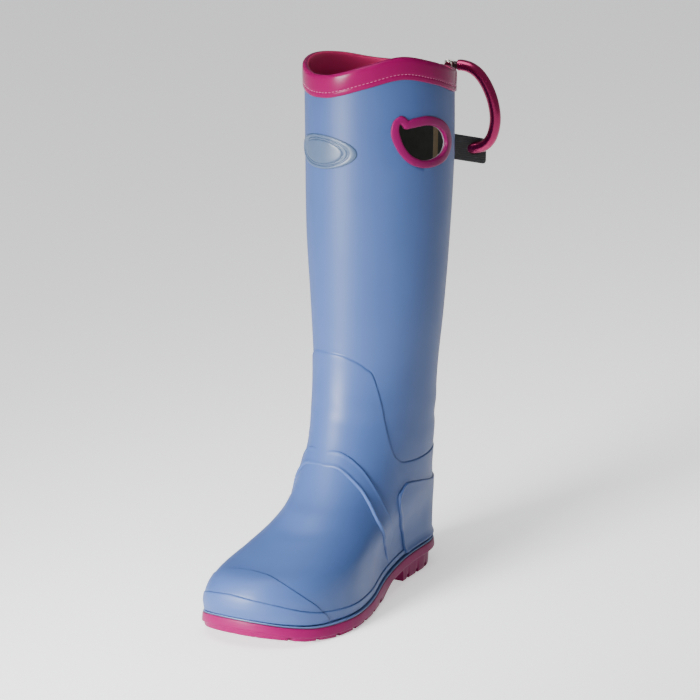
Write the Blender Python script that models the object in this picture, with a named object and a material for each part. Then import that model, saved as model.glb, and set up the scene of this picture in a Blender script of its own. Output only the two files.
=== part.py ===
"""Tall rubber boot for the left foot, with a bound collar, two hand-holes and a clip at the back.

Metres, +Z up. The toe points along -Y, the outer (lateral) side lies along +X, and the origin is
on the floor under the middle of the heel. Tables are in millimetres and degrees.
"""
import math

import bmesh
import bpy
import numpy as np
from mathutils import Matrix

# Driving dimensions
MM = 0.001
SOLE_LENGTH = 0.265
HEEL_REST = 0.038          # from the back of the sole to the origin
WALL = 0.0020              # rubber wall of the shaft
GAP = 0.0003               # clearance between pieces that meet
FOOT_RELIEF = 0.0008       # the foot stands proud of the shaft
BAND_RELIEF = 0.0015
COUNTER_RELIEF = 0.0019
FOXING_RELIEF = 0.0016
TOE_CAP_STEP = 0.0007
WELT_HEIGHT = 0.0015
WELT_LEDGE = 0.0005
UPPER_LEDGE = 0.0034       # the wall stands this far inside the sole's edge
INSOLE_HEIGHT = 0.0040
INSOLE_CLEARANCE = 0.0006
RUBBER_BINDING = 0.0012
BINDING_OUTSIDE = 0.0160
BINDING_INSIDE = 0.0180
COLUMNS = 50

# The sole seen from above: share of the length from the heel, half width, centre line to the outer side
SOLE_PLAN = (
    (0.00, 31.0, 0.0),
    (0.16, 31.5, 0.0),
    (0.42, 33.5, 3.5),
    (0.60, 44.0, 5.0),
    (0.70, 48.0, 3.5),
    (0.85, 49.0, -5.0),
    (1.00, 47.0, -14.0),
)
HEEL_ROUND = 0.040
HEEL_POWER = 2.2
TOE_ROUND = 0.056
TOE_POWER = 2.35
# The sole seen from the side: share of the length, height of its top
SOLE_TOP = (
    (0.00, 22.5),
    (0.28, 21.5),
    (0.45, 15.5),
    (0.62, 11.0),
    (0.74, 10.5),
    (0.88, 13.2),
    (0.94, 16.9),
    (1.00, 22.0),
)
# Distance from the back of the sole, height of the tread, inset of the tread under the edge strip
SOLE_TREAD = (
    (0.0, 0.0, 4.0),
    (70.0, 0.0, 4.0),
    (72.5, 10.0, 3.0),
    (96.0, 8.5, 1.5),
    (117.0, 0.0, 1.2),
    (208.0, 0.0, 1.2),
    (236.0, 3.0, 1.2),
    (265.0, 10.0, 1.2),
)
STRIP_HEIGHT = 0.0072
STRIP_FLARE = 0.0006
GROOVE_WIDTH = 0.0042
GROOVE_DEPTH = 0.0034
GROOVE_WALL = 0.0004
# First and last groove of each tread area, from the back of the sole, and the number of grooves
GROOVES = ((0.014, 0.062, 4), (0.126, 0.245, 7))

# Sections of the upper, a ring each: back and front of the ring (distance from the back of the
# sole, height), half width, shift to the outer side, share of the length where it is widest,
# roundness at the back and front, share of the sole's outline in it, twist about its middle
UPPER_COLUMNS = (
    "row", "back", "back_z", "front", "front_z", "half", "shift", "widest", "back_n", "front_n",
    "sole_share", "twist",
)
UPPER = (
    (0, 2.8, 24.6, 262.0, 24.1, 46.5, 0.0, 0.50, 2.2, 2.2, 1.00, 0),      # feather line
    (1, 2.0, 35.0, 263.5, 32.8, 46.5, 0.0, 0.50, 2.2, 2.2, 1.00, 0),
    (2, 2.0, 47.5, 261.0, 43.0, 46.0, 0.0, 0.55, 2.4, 2.3, 0.90, 0),      # heel cup and toe wall
    (3, 3.0, 58.5, 252.0, 53.0, 44.5, 0.0, 0.55, 2.5, 2.3, 0.65, 0),
    (4, 4.5, 70.0, 231.5, 60.5, 42.0, 0.5, 0.52, 2.5, 2.3, 0.35, 0),      # top of the toe
    (5, 7.0, 81.0, 207.0, 69.0, 40.0, 1.0, 0.50, 2.5, 2.2, 0.10, 0),      # vamp
    (6, 9.5, 92.5, 183.0, 81.0, 38.5, 1.5, 0.48, 2.5, 2.2, 0.00, 0),
    (7, 12.0, 106.0, 161.5, 98.5, 38.0, 1.5, 0.48, 2.5, 2.2, 0.00, 2),    # instep
    (8, 13.5, 122.0, 144.5, 124.5, 37.5, 2.5, 0.49, 2.4, 2.1, 0.00, 5),
    (9, 14.5, 145.5, 133.0, 156.0, 38.5, 2.0, 0.50, 2.3, 2.1, 0.00, 9),   # ankle
    (10, 13.5, 176.0, 128.0, 190.0, 41.0, 1.5, 0.50, 2.2, 2.0, 0.00, 12),
    (11, 9.5, 223.0, 128.0, 238.0, 45.5, 2.0, 0.50, 2.1, 2.0, 0.00, 14),  # shin
    (12, 4.0, 280.0, 129.5, 290.0, 49.5, 2.0, 0.50, 2.0, 2.0, 0.00, 15),
    (13, 1.0, 345.0, 130.0, 350.0, 51.5, 2.5, 0.50, 2.0, 2.0, 0.00, 15),  # calf
    (14, 0.5, 414.0, 130.0, 414.0, 51.5, 2.0, 0.50, 2.0, 2.0, 0.00, 15),  # collar
)
TOP_ROW = UPPER[-1][0]
SHAFT_SHARES = (0, 0.16, 0.32, 0.48, 0.64, 0.79, 0.88, 0.94, 1)    # from the shin's line to the rim
INSIDE_ROWS = (14, 13.6, 13.2, 12.7, 11.8, 10.8, 9.8, 8.8, 7.8, 6.8, 5.8, 4.6, 3.2, 2, 1, 0)
SAG_ENDS_AT = 6            # row by which the sections no longer follow the sole's curve
WAVE_STARTS_AT = 12        # row from which the collar's wave grows
# The collar's wave: turn from the front, rise on the outer side, rise on the inner side
COLLAR_WAVE = (
    (0, 0.4, 0.3),
    (9, 0.8, 0.5),
    (21, 3.2, 2.2),
    (40, 8.5, 6.0),
    (68, 14.5, 9.0),
    (95, 8.5, 6.5),
    (124, -1.0, 0.0),
    (180, -4.0, -4.0),
)

# Lines of the upper's relief, the same on both sides: turn from the front, row
FOXING_LINE = ((0, 1.85), (25, 1.50), (43, 1.05), (60, 0.75), (80, 0.60), (110, 0.52), (180, 0.55))
SHIN_LINE = (
    (0, 10.20), (25, 10.15), (43, 9.97), (50, 9.82), (55, 9.40), (61, 8.74), (66, 8.25),
    (72, 7.80), (80, 7.45), (95, 7.20), (110, 7.10), (180, 7.10),
)
TOE_CAP_LINE = ((0, 3.55), (12, 3.40), (22, 3.05), (32, 2.50), (40, 1.90), (46, 1.35), (52, 0.40))
# Turn, row of the band's front edge, row of its rear edge
INSTEP_BAND = (
    (0, 7.62, 8.05), (24, 7.48, 7.98), (36, 7.18, 7.76), (48, 6.72, 7.38), (60, 5.98, 6.78),
    (72, 5.02, 5.95), (86, 3.55, 4.75), (97, 1.95, 3.50), (104, 0.45, 2.50),
)
# Turn, row of the counter's lower edge, row of its upper edge
HEEL_COUNTER = (
    (88, 5.55, 5.95), (91, 5.10, 6.16), (100, 3.96, 6.14), (108, 2.80, 5.92), (114, 1.60, 5.76),
    (118, 0.06, 5.62), (135, 0.06, 5.04), (180, 0.06, 4.70),
)
# Hand-hole: turn and height of the opening, turn and height of the trim's outer edge
HAND_HOLE = (
    (66.0, 378.6, 65.8, 385.1),
    (68.2, 377.2, 69.6, 384.2),
    (70.6, 374.7, 73.0, 381.4),
    (77.0, 375.3, 78.0, 382.6),
    (90.0, 375.9, 90.4, 383.0),
    (100.5, 373.2, 103.0, 379.3),
    (108.4, 367.5, 114.0, 372.5),
    (112.6, 359.5, 121.5, 361.5),
    (110.5, 353.6, 119.8, 351.0),
    (102.5, 348.8, 107.5, 343.3),
    (90.0, 347.8, 92.0, 342.0),
    (77.0, 352.8, 76.1, 346.5),
    (69.5, 361.3, 65.5, 356.6),
    (65.8, 371.0, 59.3, 370.2),
    (65.2, 375.6, 60.6, 380.5),
)
HOLE_STEPS = 2             # points on the outline for each row above
HOLE_CUT = 0.28            # place of the cut in the rubber, from the opening to the trim's edge
TRIM_TUNNEL = 0.21
TRIM_INNER = 0.75
TRIM_HEIGHT = 0.0010

BADGE_WIDTH = 0.0560
BADGE_HEIGHT = 0.0260
BADGE_Z = 0.3570
# Share of the badge's radius, height over the rubber: back, raised border, face
BADGE_PROFILE = (
    (0.25, 0.3), (0.50, 0.3), (0.75, 0.3), (1.00, 0.3), (1.00, 1.0), (0.95, 1.4), (0.80, 1.4),
    (0.75, 0.9), (0.50, 1.0), (0.25, 1.1),
)
BADGE_SIDES = 22

# A webbing tab runs back from the shaft, and the clip passes through the slot in it. Each stands in
# an upright plane of its own, turned from straight back to the outer side
TAB_TURN = math.radians(30)
TAB_LENGTH = 0.0455
TAB_TOP = 0.3575           # at the shaft
TAB_HEIGHT = 0.0208
TAB_DROOP = 0.0100         # of the far end
TAB_THICK = 0.0036         # two layers of webbing
TAB_CORNER = 0.0030
SLOT_OUT = 0.0330          # middle of the slot, from the back of the shaft
SLOT_SIZE = 0.0102         # square to the clip's rod, both ways
CLIP_TURN = math.radians(75)
CLIP_ROD = 0.0046          # radius
CLIP_SIDES = 8
# Middle of the rod from the hinge round to the nose: place from the slot's middle, height
CLIP_PATH = (
    (-12.8, 407.4), (-8.5, 407.4), (-2.0, 405.6), (4.4, 401.2), (10.0, 393.8), (14.4, 384.8),
    (17.2, 375.6), (18.5, 365.6), (17.4, 356.0), (14.6, 348.6), (9.6, 343.4), (2.0, 341.0),
    (-7.0, 340.8), (-15.5, 343.2), (-21.5, 348.6), (-24.4, 356.5), (-23.95, 361.1), (-23.53, 366.05),
)
HINGE = (-0.0200, 0.4074)
GATE_ROD = 0.0040          # radius
GATE_CLEARANCE = 0.0005    # at the nose
PIN_RADIUS = 0.0013
TONGUE = 0.0030            # thickness of the body's tongue in the gate's fork

BLUE = (0.205, 0.300, 0.540)
PALE_BLUE = (0.330, 0.420, 0.640)
PINK = (0.600, 0.012, 0.200)
DARK_GREY = (0.060, 0.060, 0.065)
BLACK = (0.012, 0.012, 0.014)
SILVER = (0.620, 0.620, 0.640)


def spline(rows, column, at):
    """Smooth curve through a table's rows: column 0 is the place, `column` the value."""
    places = np.array([row[0] for row in rows], float)
    values = np.array([row[column] for row in rows], float)
    at = np.clip(np.asarray(at, float), places[0], places[-1])
    step = np.diff(places)
    slope = np.diff(values) / step
    tangent = np.empty_like(values)
    tangent[1:-1] = (slope[:-1] * step[1:] + slope[1:] * step[:-1]) / (step[:-1] + step[1:])
    tangent[0] = slope[0]
    tangent[-1] = slope[-1]
    i = np.clip(np.searchsorted(places, at, side="right") - 1, 0, len(step) - 1)
    t = (at - places[i]) / step[i]
    rise = t * t * (3 - 2 * t)
    bend = t * (1 - t) ** 2 * tangent[i] - t * t * (1 - t) * tangent[i + 1]
    return values[i] * (1 - rise) + values[i + 1] * rise + step[i] * bend


def linear(rows, column, at):
    """Straight runs between a table's rows."""
    return np.interp(at, [row[0] for row in rows], [row[column] for row in rows])


def turn_degrees(theta):
    """Turn from the front, 0 to 180, on either side."""
    return np.degrees(np.abs((theta + math.pi) % (2 * math.pi) - math.pi))


def angles(count):
    return np.arange(count) * 2 * math.pi / count


# Sole outline

def sole_width(q):
    """Half width, half width before the ends are rounded, and centre line, at a share of the length."""
    along = q * SOLE_LENGTH
    full = spline(SOLE_PLAN, 1, q) * MM
    heel = np.clip(1 - along / HEEL_ROUND, 0, 1)
    toe = np.clip(1 - (SOLE_LENGTH - along) / TOE_ROUND, 0, 1)
    half = full * (1 - heel ** HEEL_POWER) ** (1 / HEEL_POWER) * (1 - toe ** TOE_POWER) ** (1 / TOE_POWER)
    return half, full, spline(SOLE_PLAN, 2, q) * MM


def sole_top(along):
    return spline(SOLE_TOP, 1, along / SOLE_LENGTH) * MM


def sole_edge(theta, inset=0.0):
    """Points of the sole's outline, moved inward by inset: x and distance from the back."""
    def outline(t):
        q = (1 + np.cos(t)) / 2
        half, _, centre = sole_width(q)
        return np.stack([np.sign(np.sin(t)) * half + centre, q * SOLE_LENGTH], -1)

    nudge = 0.004
    run = outline(theta + nudge) - outline(theta - nudge)
    run /= np.linalg.norm(run, axis=-1, keepdims=True)
    inward = np.stack([run[..., 1], -run[..., 0]], -1)
    return outline(theta) + inward * np.asarray(inset)[..., None]


# Upper surface

def section(row, name):
    return spline(UPPER, UPPER_COLUMNS.index(name), row)


def egg(q, widest, back_n, front_n):
    """Half width of an egg-shaped ring, 0 to 1, at a share of its length."""
    back = np.clip((widest - q) / widest, 0, 1)
    front = np.clip((q - widest) / (1 - widest), 0, 1)
    return np.where(q < widest, (1 - back ** back_n) ** (1 / back_n), (1 - front ** front_n) ** (1 / front_n))


def collar_wave(theta, row):
    grown = np.clip((row - WAVE_STARTS_AT) / (TOP_ROW - WAVE_STARTS_AT), 0, 1)
    grown = grown * grown * (3 - 2 * grown)
    turn = turn_degrees(theta)
    outer = np.sin(theta) >= 0
    return np.where(outer, spline(COLLAR_WAVE, 1, turn), spline(COLLAR_WAVE, 2, turn)) * MM * grown


def upper_base(theta, row):
    """Point of the upper's smooth outer form: theta turns from the front to the outer side."""
    theta, row = np.broadcast_arrays(np.asarray(theta, float), np.asarray(row, float))
    q = (1 + np.cos(theta)) / 2
    back, back_z, front, front_z, half, shift = (
        section(row, name) * MM for name in ("back", "back_z", "front", "front_z", "half", "shift"))
    along = back + (front - back) * q
    follow = np.clip(1 - row / SAG_ENDS_AT, 0, 1)
    share = along / SOLE_LENGTH
    straight = sole_top(0.0) + (sole_top(SOLE_LENGTH) - sole_top(0.0)) * share
    z = back_z + (front_z - back_z) * q + (sole_top(along) - straight) * follow + collar_wave(theta, row)

    sole_half, full, centre = sole_width(q)
    like_sole = sole_half * (1 - UPPER_LEDGE / full)
    like_egg = half * egg(q, section(row, "widest"), section(row, "back_n"), section(row, "front_n"))
    sole_share = section(row, "sole_share")
    across = np.sign(np.sin(theta)) * (sole_share * like_sole + (1 - sole_share) * like_egg) + sole_share * centre

    middle = (back + front) / 2
    twist = np.radians(section(row, "twist"))
    x = shift + across * np.cos(twist) - (along - middle) * np.sin(twist)
    turned = middle + across * np.sin(twist) + (along - middle) * np.cos(twist)
    return np.stack([x, HEEL_REST - turned, z], -1)


def upper_normal(theta, row):
    nudge_turn, nudge_row = 0.01, 0.02
    around = upper_base(theta + nudge_turn, row) - upper_base(theta - nudge_turn, row)
    up = upper_base(theta, np.minimum(row + nudge_row, TOP_ROW)) - upper_base(theta, np.maximum(row - nudge_row, 0))
    normal = np.cross(around, up)
    # Level at the feather line, so that the wall's foot keeps its height
    normal[..., 2] *= np.clip(row, 0, 1)
    return normal / np.linalg.norm(normal, axis=-1, keepdims=True)


def upper_point(theta, row, offset=0.0):
    theta, row = np.broadcast_arrays(np.asarray(theta, float), np.asarray(row, float))
    return upper_base(theta, row) + upper_normal(theta, row) * np.asarray(offset, float)[..., None]


def row_at_height(theta, z):
    """Row at which the surface reaches a height, for each angle."""
    low = np.zeros_like(theta)
    high = np.full_like(theta, TOP_ROW)
    for _ in range(40):
        middle = (low + high) / 2
        below = upper_base(theta, middle)[..., 2] < z
        low = np.where(below, middle, low)
        high = np.where(below, high, middle)
    return (low + high) / 2


# Mesh helpers

def material(name, colour, roughness, metallic=0.0):
    found = bpy.data.materials.get(name)
    if found:
        return found
    made = bpy.data.materials.new(name)
    made.use_nodes = True
    shader = made.node_tree.nodes["Principled BSDF"]
    shader.inputs["Base Color"].default_value = (*colour, 1.0)
    shader.inputs["Roughness"].default_value = roughness
    shader.inputs["Metallic"].default_value = metallic
    return made


def solid(name, points, faces, finish=None):
    """Object from points and faces, its faces turned outward."""
    mesh = bpy.data.meshes.new(name)
    mesh.from_pydata([tuple(p) for p in points], [], faces)
    shape = bmesh.new()
    shape.from_mesh(mesh)
    bmesh.ops.recalc_face_normals(shape, faces=shape.faces)
    bmesh.ops.triangulate(shape, faces=shape.faces)
    shape.to_mesh(mesh)
    shape.free()
    mesh.shade_smooth()
    mesh.set_sharp_from_angle(angle=math.radians(35))
    made = bpy.data.objects.new(name, mesh)
    bpy.context.scene.collection.objects.link(made)
    if finish:
        mesh.materials.append(finish)
    else:
        made.hide_render = True
        made.display_type = "WIRE"
    return made


def ring_solid(name, loops, finish=None):
    """Solid whose skin is a closed series of closed loops, each joined to the next."""
    count = len(loops[0])
    faces = []
    for k in range(len(loops)):
        here, there = k * count, (k + 1) % len(loops) * count
        for j in range(count):
            n = (j + 1) % count
            faces.append((here + j, here + n, there + n, there + j))
    return solid(name, np.concatenate(loops), faces, finish)


def capped_solid(name, loops, finish=None):
    """Solid from a series of loops, closed at both ends by strips from side to side.

    Each loop starts at the toe, runs back along the outer side and forward along the inner side.
    """
    count = len(loops[0])
    faces = []
    for k in range(len(loops) - 1):
        for j in range(count):
            n = (j + 1) % count
            faces.append((k * count + j, k * count + n, (k + 1) * count + n, (k + 1) * count + j))
    for base in (0, (len(loops) - 1) * count):
        for j in range(count // 2):
            a, b = j, j + 1
            strip = [base + a, base + b, base + (count - b) % count, base + (count - a) % count]
            faces.append(tuple(dict.fromkeys(strip)))
    return solid(name, np.concatenate(loops), faces, finish)


def patch_solid(name, outside, inside):
    """Closed slab between two grids of the same size."""
    rows, columns = outside.shape[:2]
    size = rows * columns
    faces = []
    for i in range(rows - 1):
        for j in range(columns - 1):
            a = i * columns + j
            quad = (a, a + 1, a + columns + 1, a + columns)
            faces.append(quad)
            faces.append(tuple(size + v for v in reversed(quad)))
    edge = [j for j in range(columns)]
    edge += [i * columns + columns - 1 for i in range(1, rows)]
    edge += [(rows - 1) * columns + j for j in range(columns - 2, -1, -1)]
    edge += [i * columns for i in range(rows - 2, 0, -1)]
    for a, b in zip(edge, edge[1:] + edge[:1]):
        faces.append((a, size + a, size + b, b))
    points = np.concatenate([outside.reshape(-1, 3), inside.reshape(-1, 3)])
    return solid(name, points, faces)


def boolean(target, operand, operation):
    cut = target.modifiers.new(operand.name, "BOOLEAN")
    cut.operation = operation
    cut.object = operand
    cut.solver = "EXACT"


def smooth_closed(points, steps):
    """Closed smooth curve through points, with steps points for each of them."""
    points = np.asarray(points, float)
    before, after, beyond = (np.roll(points, k, axis=0) for k in (1, -1, -2))
    made = []
    for i in range(len(points)):
        for t in np.arange(steps) / steps:
            a, b, c, d = before[i], points[i], after[i], beyond[i]
            made.append(b + 0.5 * t * (c - a + t * (2 * a - 5 * b + 4 * c - d + t * (3 * (b - c) + d - a))))
    return np.array(made)


def smooth_open(points, steps):
    """Smooth curve through points, ends included."""
    points = np.asarray(points, float)
    places = np.arange(len(points))
    at = np.linspace(0, len(points) - 1, (len(points) - 1) * steps + 1)
    table = np.column_stack([places, points])
    return np.stack([spline(table, k + 1, at) for k in range(points.shape[1])], -1)


# Pieces

def relief_patch(name, turns, lower, upper, relief, rows):
    """Slab over a stretch of the upper between two lines, sunk into the wall behind."""
    theta = np.radians(turns)
    share = np.linspace(0, 1, rows)[:, None]
    row = lower + (upper - lower) * share
    theta = np.broadcast_to(theta, row.shape)
    return patch_solid(name, upper_point(theta, row, relief), upper_point(theta, row, -WALL / 2))


def toe_cap_patch():
    """Toe cap: a step over the foot, and over the foxing below it."""
    turns = np.linspace(-TOE_CAP_LINE[-1][0], TOE_CAP_LINE[-1][0], 27)
    theta = np.radians(turns)
    foxing = spline(FOXING_LINE, 1, np.abs(turns))
    top = np.maximum(spline(TOE_CAP_LINE, 1, np.abs(turns)), 0.2)
    low_top = np.minimum(foxing, top - 0.02)
    start = 0.06
    rows = [start + (low_top - start) * share for share in (0, 0.5, 1)]
    reliefs = [FOXING_RELIEF + TOE_CAP_STEP] * 3
    step = 0.03
    rows += [low_top + step * (top - low_top) + (1 - step) * (top - low_top) * share
             for share in np.linspace(0, 1, 6)]
    reliefs += [FOOT_RELIEF + TOE_CAP_STEP] * 6
    row = np.array(rows)
    relief = np.repeat(np.array(reliefs)[:, None], len(turns), axis=1)
    theta = np.broadcast_to(theta, row.shape)
    return patch_solid("toe_cap_form", upper_point(theta, row, relief), upper_point(theta, row, -WALL / 2))


def upper():
    theta = angles(COLUMNS)
    turn = turn_degrees(theta)
    foxing = spline(FOXING_LINE, 1, turn)
    shin = spline(SHIN_LINE, 1, turn)
    step = 0.02
    loops = []
    for share in (0, 0.5, 1):
        loops.append(upper_point(theta, foxing * share, FOXING_RELIEF))
    for share in np.linspace(0, 1, 16):
        row = foxing + step + (shin - foxing - step) * share
        loops.append(upper_point(theta, row, FOOT_RELIEF))
    for share in SHAFT_SHARES:
        row = shin + step + (TOP_ROW - shin - step) * share
        loops.append(upper_point(theta, row, 0.0))
    for row in INSIDE_ROWS:
        loops.append(upper_point(theta, np.full(COLUMNS, row), -WALL))
    for foot in (loops[0], loops[-1]):
        foot[:, 2] = sole_top(HEEL_REST - foot[:, 1]) + WELT_HEIGHT + 2 * GAP
    made = ring_solid("upper", loops, material("blue_rubber", BLUE, 0.5))

    boolean(made, toe_cap_patch(), "UNION")
    band_turns = np.linspace(-INSTEP_BAND[-1][0], INSTEP_BAND[-1][0], 37)
    band = [spline(INSTEP_BAND, k, np.abs(band_turns)) for k in (1, 2)]
    boolean(made, relief_patch("instep_band_form", band_turns, *band, BAND_RELIEF, 3), "UNION")
    first = HEEL_COUNTER[0][0]
    counter_turns = np.linspace(first, 360 - first, 35)
    mirrored = np.minimum(counter_turns, 360 - counter_turns)
    counter = [linear(HEEL_COUNTER, 1, mirrored), spline(HEEL_COUNTER, 2, mirrored)]
    boolean(made, relief_patch("heel_counter_form", counter_turns, *counter, COUNTER_RELIEF, 6), "UNION")
    for side, sign in (("lateral", 1), ("medial", -1)):
        boolean(made, hole_cutter(side, sign), "DIFFERENCE")
    return made


def hole_outline(sign, share):
    """Angle and row along a hand-hole's outline, from the opening (0) to the trim's edge (1)."""
    table = np.array(HAND_HOLE)
    places = table[:, :2] * (1 - share) + table[:, 2:] * share
    curve = smooth_closed(places, HOLE_STEPS)
    theta = sign * np.radians(curve[:, 0])
    return theta, row_at_height(theta, curve[:, 1] * MM)


def hole_cutter(side, sign):
    reach = 0.006
    theta, row = hole_outline(sign, HOLE_CUT)
    outside = upper_point(theta, row, reach)
    inside = upper_point(theta, row, -reach)
    count = len(theta)
    faces = [(j, (j + 1) % count, count + (j + 1) % count, count + j) for j in range(count)]
    points = list(outside) + list(inside) + [outside.mean(axis=0), inside.mean(axis=0)]
    for j in range(count):
        n = (j + 1) % count
        faces.append((2 * count, n, j))
        faces.append((2 * count + 1, count + j, count + n))
    return solid(side + "_hole_cutter", points, faces)


def hole_trim(side, sign):
    """Trim that clasps the edge of a hand-hole, with a flange outside and a narrower one inside."""
    inner_face = -WALL - GAP
    profile = (
        (0.0, inner_face - TRIM_HEIGHT),
        (0.0, GAP + TRIM_HEIGHT),
        (1.0, GAP + TRIM_HEIGHT),
        (1.0, GAP),
        (TRIM_TUNNEL, GAP),
        (TRIM_TUNNEL, inner_face),
        (TRIM_INNER, inner_face),
        (TRIM_INNER, inner_face - TRIM_HEIGHT),
    )
    loops = []
    for share, offset in profile:
        theta, row = hole_outline(sign, share)
        loops.append(upper_point(theta, row, offset))
    return ring_solid(side + "_hole_trim", loops, material("pink_trim", PINK, 0.35))


def rim_point(theta, drop, offset):
    """Point a distance below the collar's rim, or above it where drop is negative."""
    nudge = 0.3
    top = upper_base(theta, np.full_like(theta, TOP_ROW))
    below = upper_base(theta, np.full_like(theta, TOP_ROW - nudge))
    row = TOP_ROW - max(drop, 0.0) * nudge / (top - below)[:, 2]
    point = upper_point(theta, row, offset)
    point[:, 2] -= min(drop, 0.0)
    return point


def collar_binding():
    inner_face = -WALL - GAP
    fold = -GAP - RUBBER_BINDING
    profile = (
        (BINDING_OUTSIDE, GAP),
        (BINDING_OUTSIDE, GAP + RUBBER_BINDING),
        (0.001, GAP + RUBBER_BINDING),
        (fold, GAP),
        (fold, inner_face),
        (0.001, inner_face - RUBBER_BINDING),
        (BINDING_INSIDE, inner_face - RUBBER_BINDING),
        (BINDING_INSIDE, inner_face),
        (-GAP, inner_face),
        (-GAP, GAP),
    )
    theta = angles(COLUMNS)
    loops = [rim_point(theta, drop, offset) for drop, offset in profile]
    return ring_solid("collar_binding", loops, material("pink_binding", PINK, 0.3))


def badge():
    """Oval badge at the front of the shaft, its face bare."""
    around = angles(BADGE_SIDES)
    middle_row = row_at_height(np.zeros(1), np.array([BADGE_Z]))[0]
    half_front = section(middle_row, "half") * MM
    loops = []
    for share, height in BADGE_PROFILE:
        theta = np.arcsin(share * BADGE_WIDTH / 2 * np.cos(around) / half_front)
        row = row_at_height(theta, BADGE_Z + share * BADGE_HEIGHT / 2 * np.sin(around))
        loops.append(upper_point(theta, row, height * MM))
    count = BADGE_SIDES
    faces = []
    for k in range(len(loops) - 1):
        for j in range(count):
            n = (j + 1) % count
            faces.append((k * count + j, k * count + n, (k + 1) * count + n, (k + 1) * count + j))
    points = list(np.concatenate(loops))
    back, front = len(points), len(points) + 1
    centre = np.array([middle_row])
    points.append(upper_point(np.zeros(1), centre, BADGE_PROFILE[0][1] * MM)[0])
    points.append(upper_point(np.zeros(1), centre, BADGE_PROFILE[-1][1] * MM)[0])
    last = (len(loops) - 1) * count
    for j in range(count):
        n = (j + 1) % count
        faces.append((back, n, j))
        faces.append((front, last + j, last + n))
    return solid("badge", points, faces, material("badge_rubber", PALE_BLUE, 0.55))


def sole_loop(theta, inset, z):
    edge = sole_edge(theta, inset)
    return np.column_stack([edge[:, 0], HEEL_REST - edge[:, 1], z])


def groove_places():
    """Distances from the back of the sole where each tread groove starts and ends."""
    places = []
    for first, last, count in GROOVES:
        for middle in np.linspace(first, last, count):
            places.append((middle - GROOVE_WIDTH / 2, middle + GROOVE_WIDTH / 2))
    return places


def sole_stations():
    """Distances from the back of the sole at which its sections stand, toe first."""
    stations = set(np.linspace(0, SOLE_LENGTH, 29)[1:-1]) | {row[0] * MM for row in SOLE_TREAD[1:-1]}
    stations |= set(SOLE_LENGTH * (1 + np.cos(np.radians((8, 15, 165, 172)))) / 2)
    grooves = groove_places()
    margin = 0.0016
    clear = [s for s in stations if all(s < a - margin or s > b + margin for a, b in grooves)]
    for start, end in grooves:
        clear += [start, start + GROOVE_WALL, end - GROOVE_WALL, end]
    return sorted(clear, reverse=True)


def outsole():
    along = np.array(sole_stations())
    half_turn = np.arccos(2 * along / SOLE_LENGTH - 1)
    theta = np.concatenate([[0.0], half_turn, [math.pi], 2 * math.pi - half_turn[::-1]])
    place = (1 + np.cos(theta)) / 2 * SOLE_LENGTH
    top = sole_top(place)
    tread = linear(SOLE_TREAD, 1, place / MM) * MM
    inset = linear(SOLE_TREAD, 2, place / MM) * MM
    strip = np.maximum(top - STRIP_HEIGHT, tread + 0.0008)
    small = 1e-6
    cut = np.zeros_like(place)
    for start, end in groove_places():
        inside = (place > start + GROOVE_WALL - small) & (place < end - GROOVE_WALL + small)
        cut = np.where(inside, GROOVE_DEPTH, cut)
    tread = np.minimum(tread + cut, strip - 0.0008)
    step = 0.0004
    loops = [
        sole_loop(theta, np.zeros_like(theta), top),
        sole_loop(theta, np.full_like(theta, -STRIP_FLARE), strip + step),
        sole_loop(theta, inset, strip),
        sole_loop(theta, inset + STRIP_FLARE, tread),
    ]
    return capped_solid("outsole", loops, material("pink_sole", PINK, 0.45))


def welt():
    theta = angles(COLUMNS)
    wall_inside = UPPER_LEDGE + WALL - GAP
    profile = ((WELT_LEDGE, GAP), (WELT_LEDGE, GAP + WELT_HEIGHT), (wall_inside, GAP + WELT_HEIGHT), (wall_inside, GAP))
    loops = []
    for inset, rise in profile:
        edge = sole_edge(theta, np.full_like(theta, inset))
        loops.append(np.column_stack([edge[:, 0], HEEL_REST - edge[:, 1], sole_top(edge[:, 1]) + rise]))
    return ring_solid("welt", loops, material("welt_rubber", PALE_BLUE, 0.5))


def insole():
    """Footbed inside the wall, resting on the sole."""
    theta = angles(COLUMNS)
    loops = []
    for rise in (GAP, INSOLE_HEIGHT):
        low = upper_point(theta, np.zeros(COLUMNS), -WALL - INSOLE_CLEARANCE)
        low[:, 2] = sole_top(HEEL_REST - low[:, 1]) + rise
        loops.append(low)
    return capped_solid("insole", loops, material("footbed", DARK_GREY, 0.9))


# Clip and tab

def upright_plane(turn, origin):
    """Placement of an upright plane: its X runs out from the shaft's back, its Y up, its Z across."""
    out = (math.sin(turn), math.cos(turn), 0.0)
    across = (math.cos(turn), -math.sin(turn), 0.0)
    axes = Matrix((out, (0.0, 0.0, 1.0), across)).transposed().to_4x4()
    return Matrix.Translation((origin[0], origin[1], 0.0)) @ axes


def back_of_shaft():
    row = row_at_height(np.array([math.pi]), np.array([TAB_TOP - TAB_HEIGHT / 2]))
    return upper_base(np.array([math.pi]), row)[0]


def slot_middle():
    back = back_of_shaft()
    return back[0] + SLOT_OUT * math.sin(TAB_TURN), back[1] + SLOT_OUT * math.cos(TAB_TURN)


def tube(name, path, radius, sides, finish=None):
    """Closed tube along a plane path."""
    path = np.asarray(path)
    run = np.gradient(path, axis=0)
    run /= np.linalg.norm(run, axis=1, keepdims=True)
    points, faces = [], []
    for (out, up), (run_out, run_up) in zip(path, run):
        for turn in angles(sides):
            aside = radius * math.cos(turn)
            points.append((out - run_up * aside, up + run_out * aside, radius * math.sin(turn)))
    for k in range(len(path) - 1):
        for j in range(sides):
            n = (j + 1) % sides
            faces.append((k * sides + j, k * sides + n, (k + 1) * sides + n, (k + 1) * sides + j))
    last = (len(path) - 1) * sides
    faces.append(tuple(range(sides)))
    faces.append(tuple(last + j for j in range(sides)))
    return solid(name, points, faces, finish)


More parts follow.
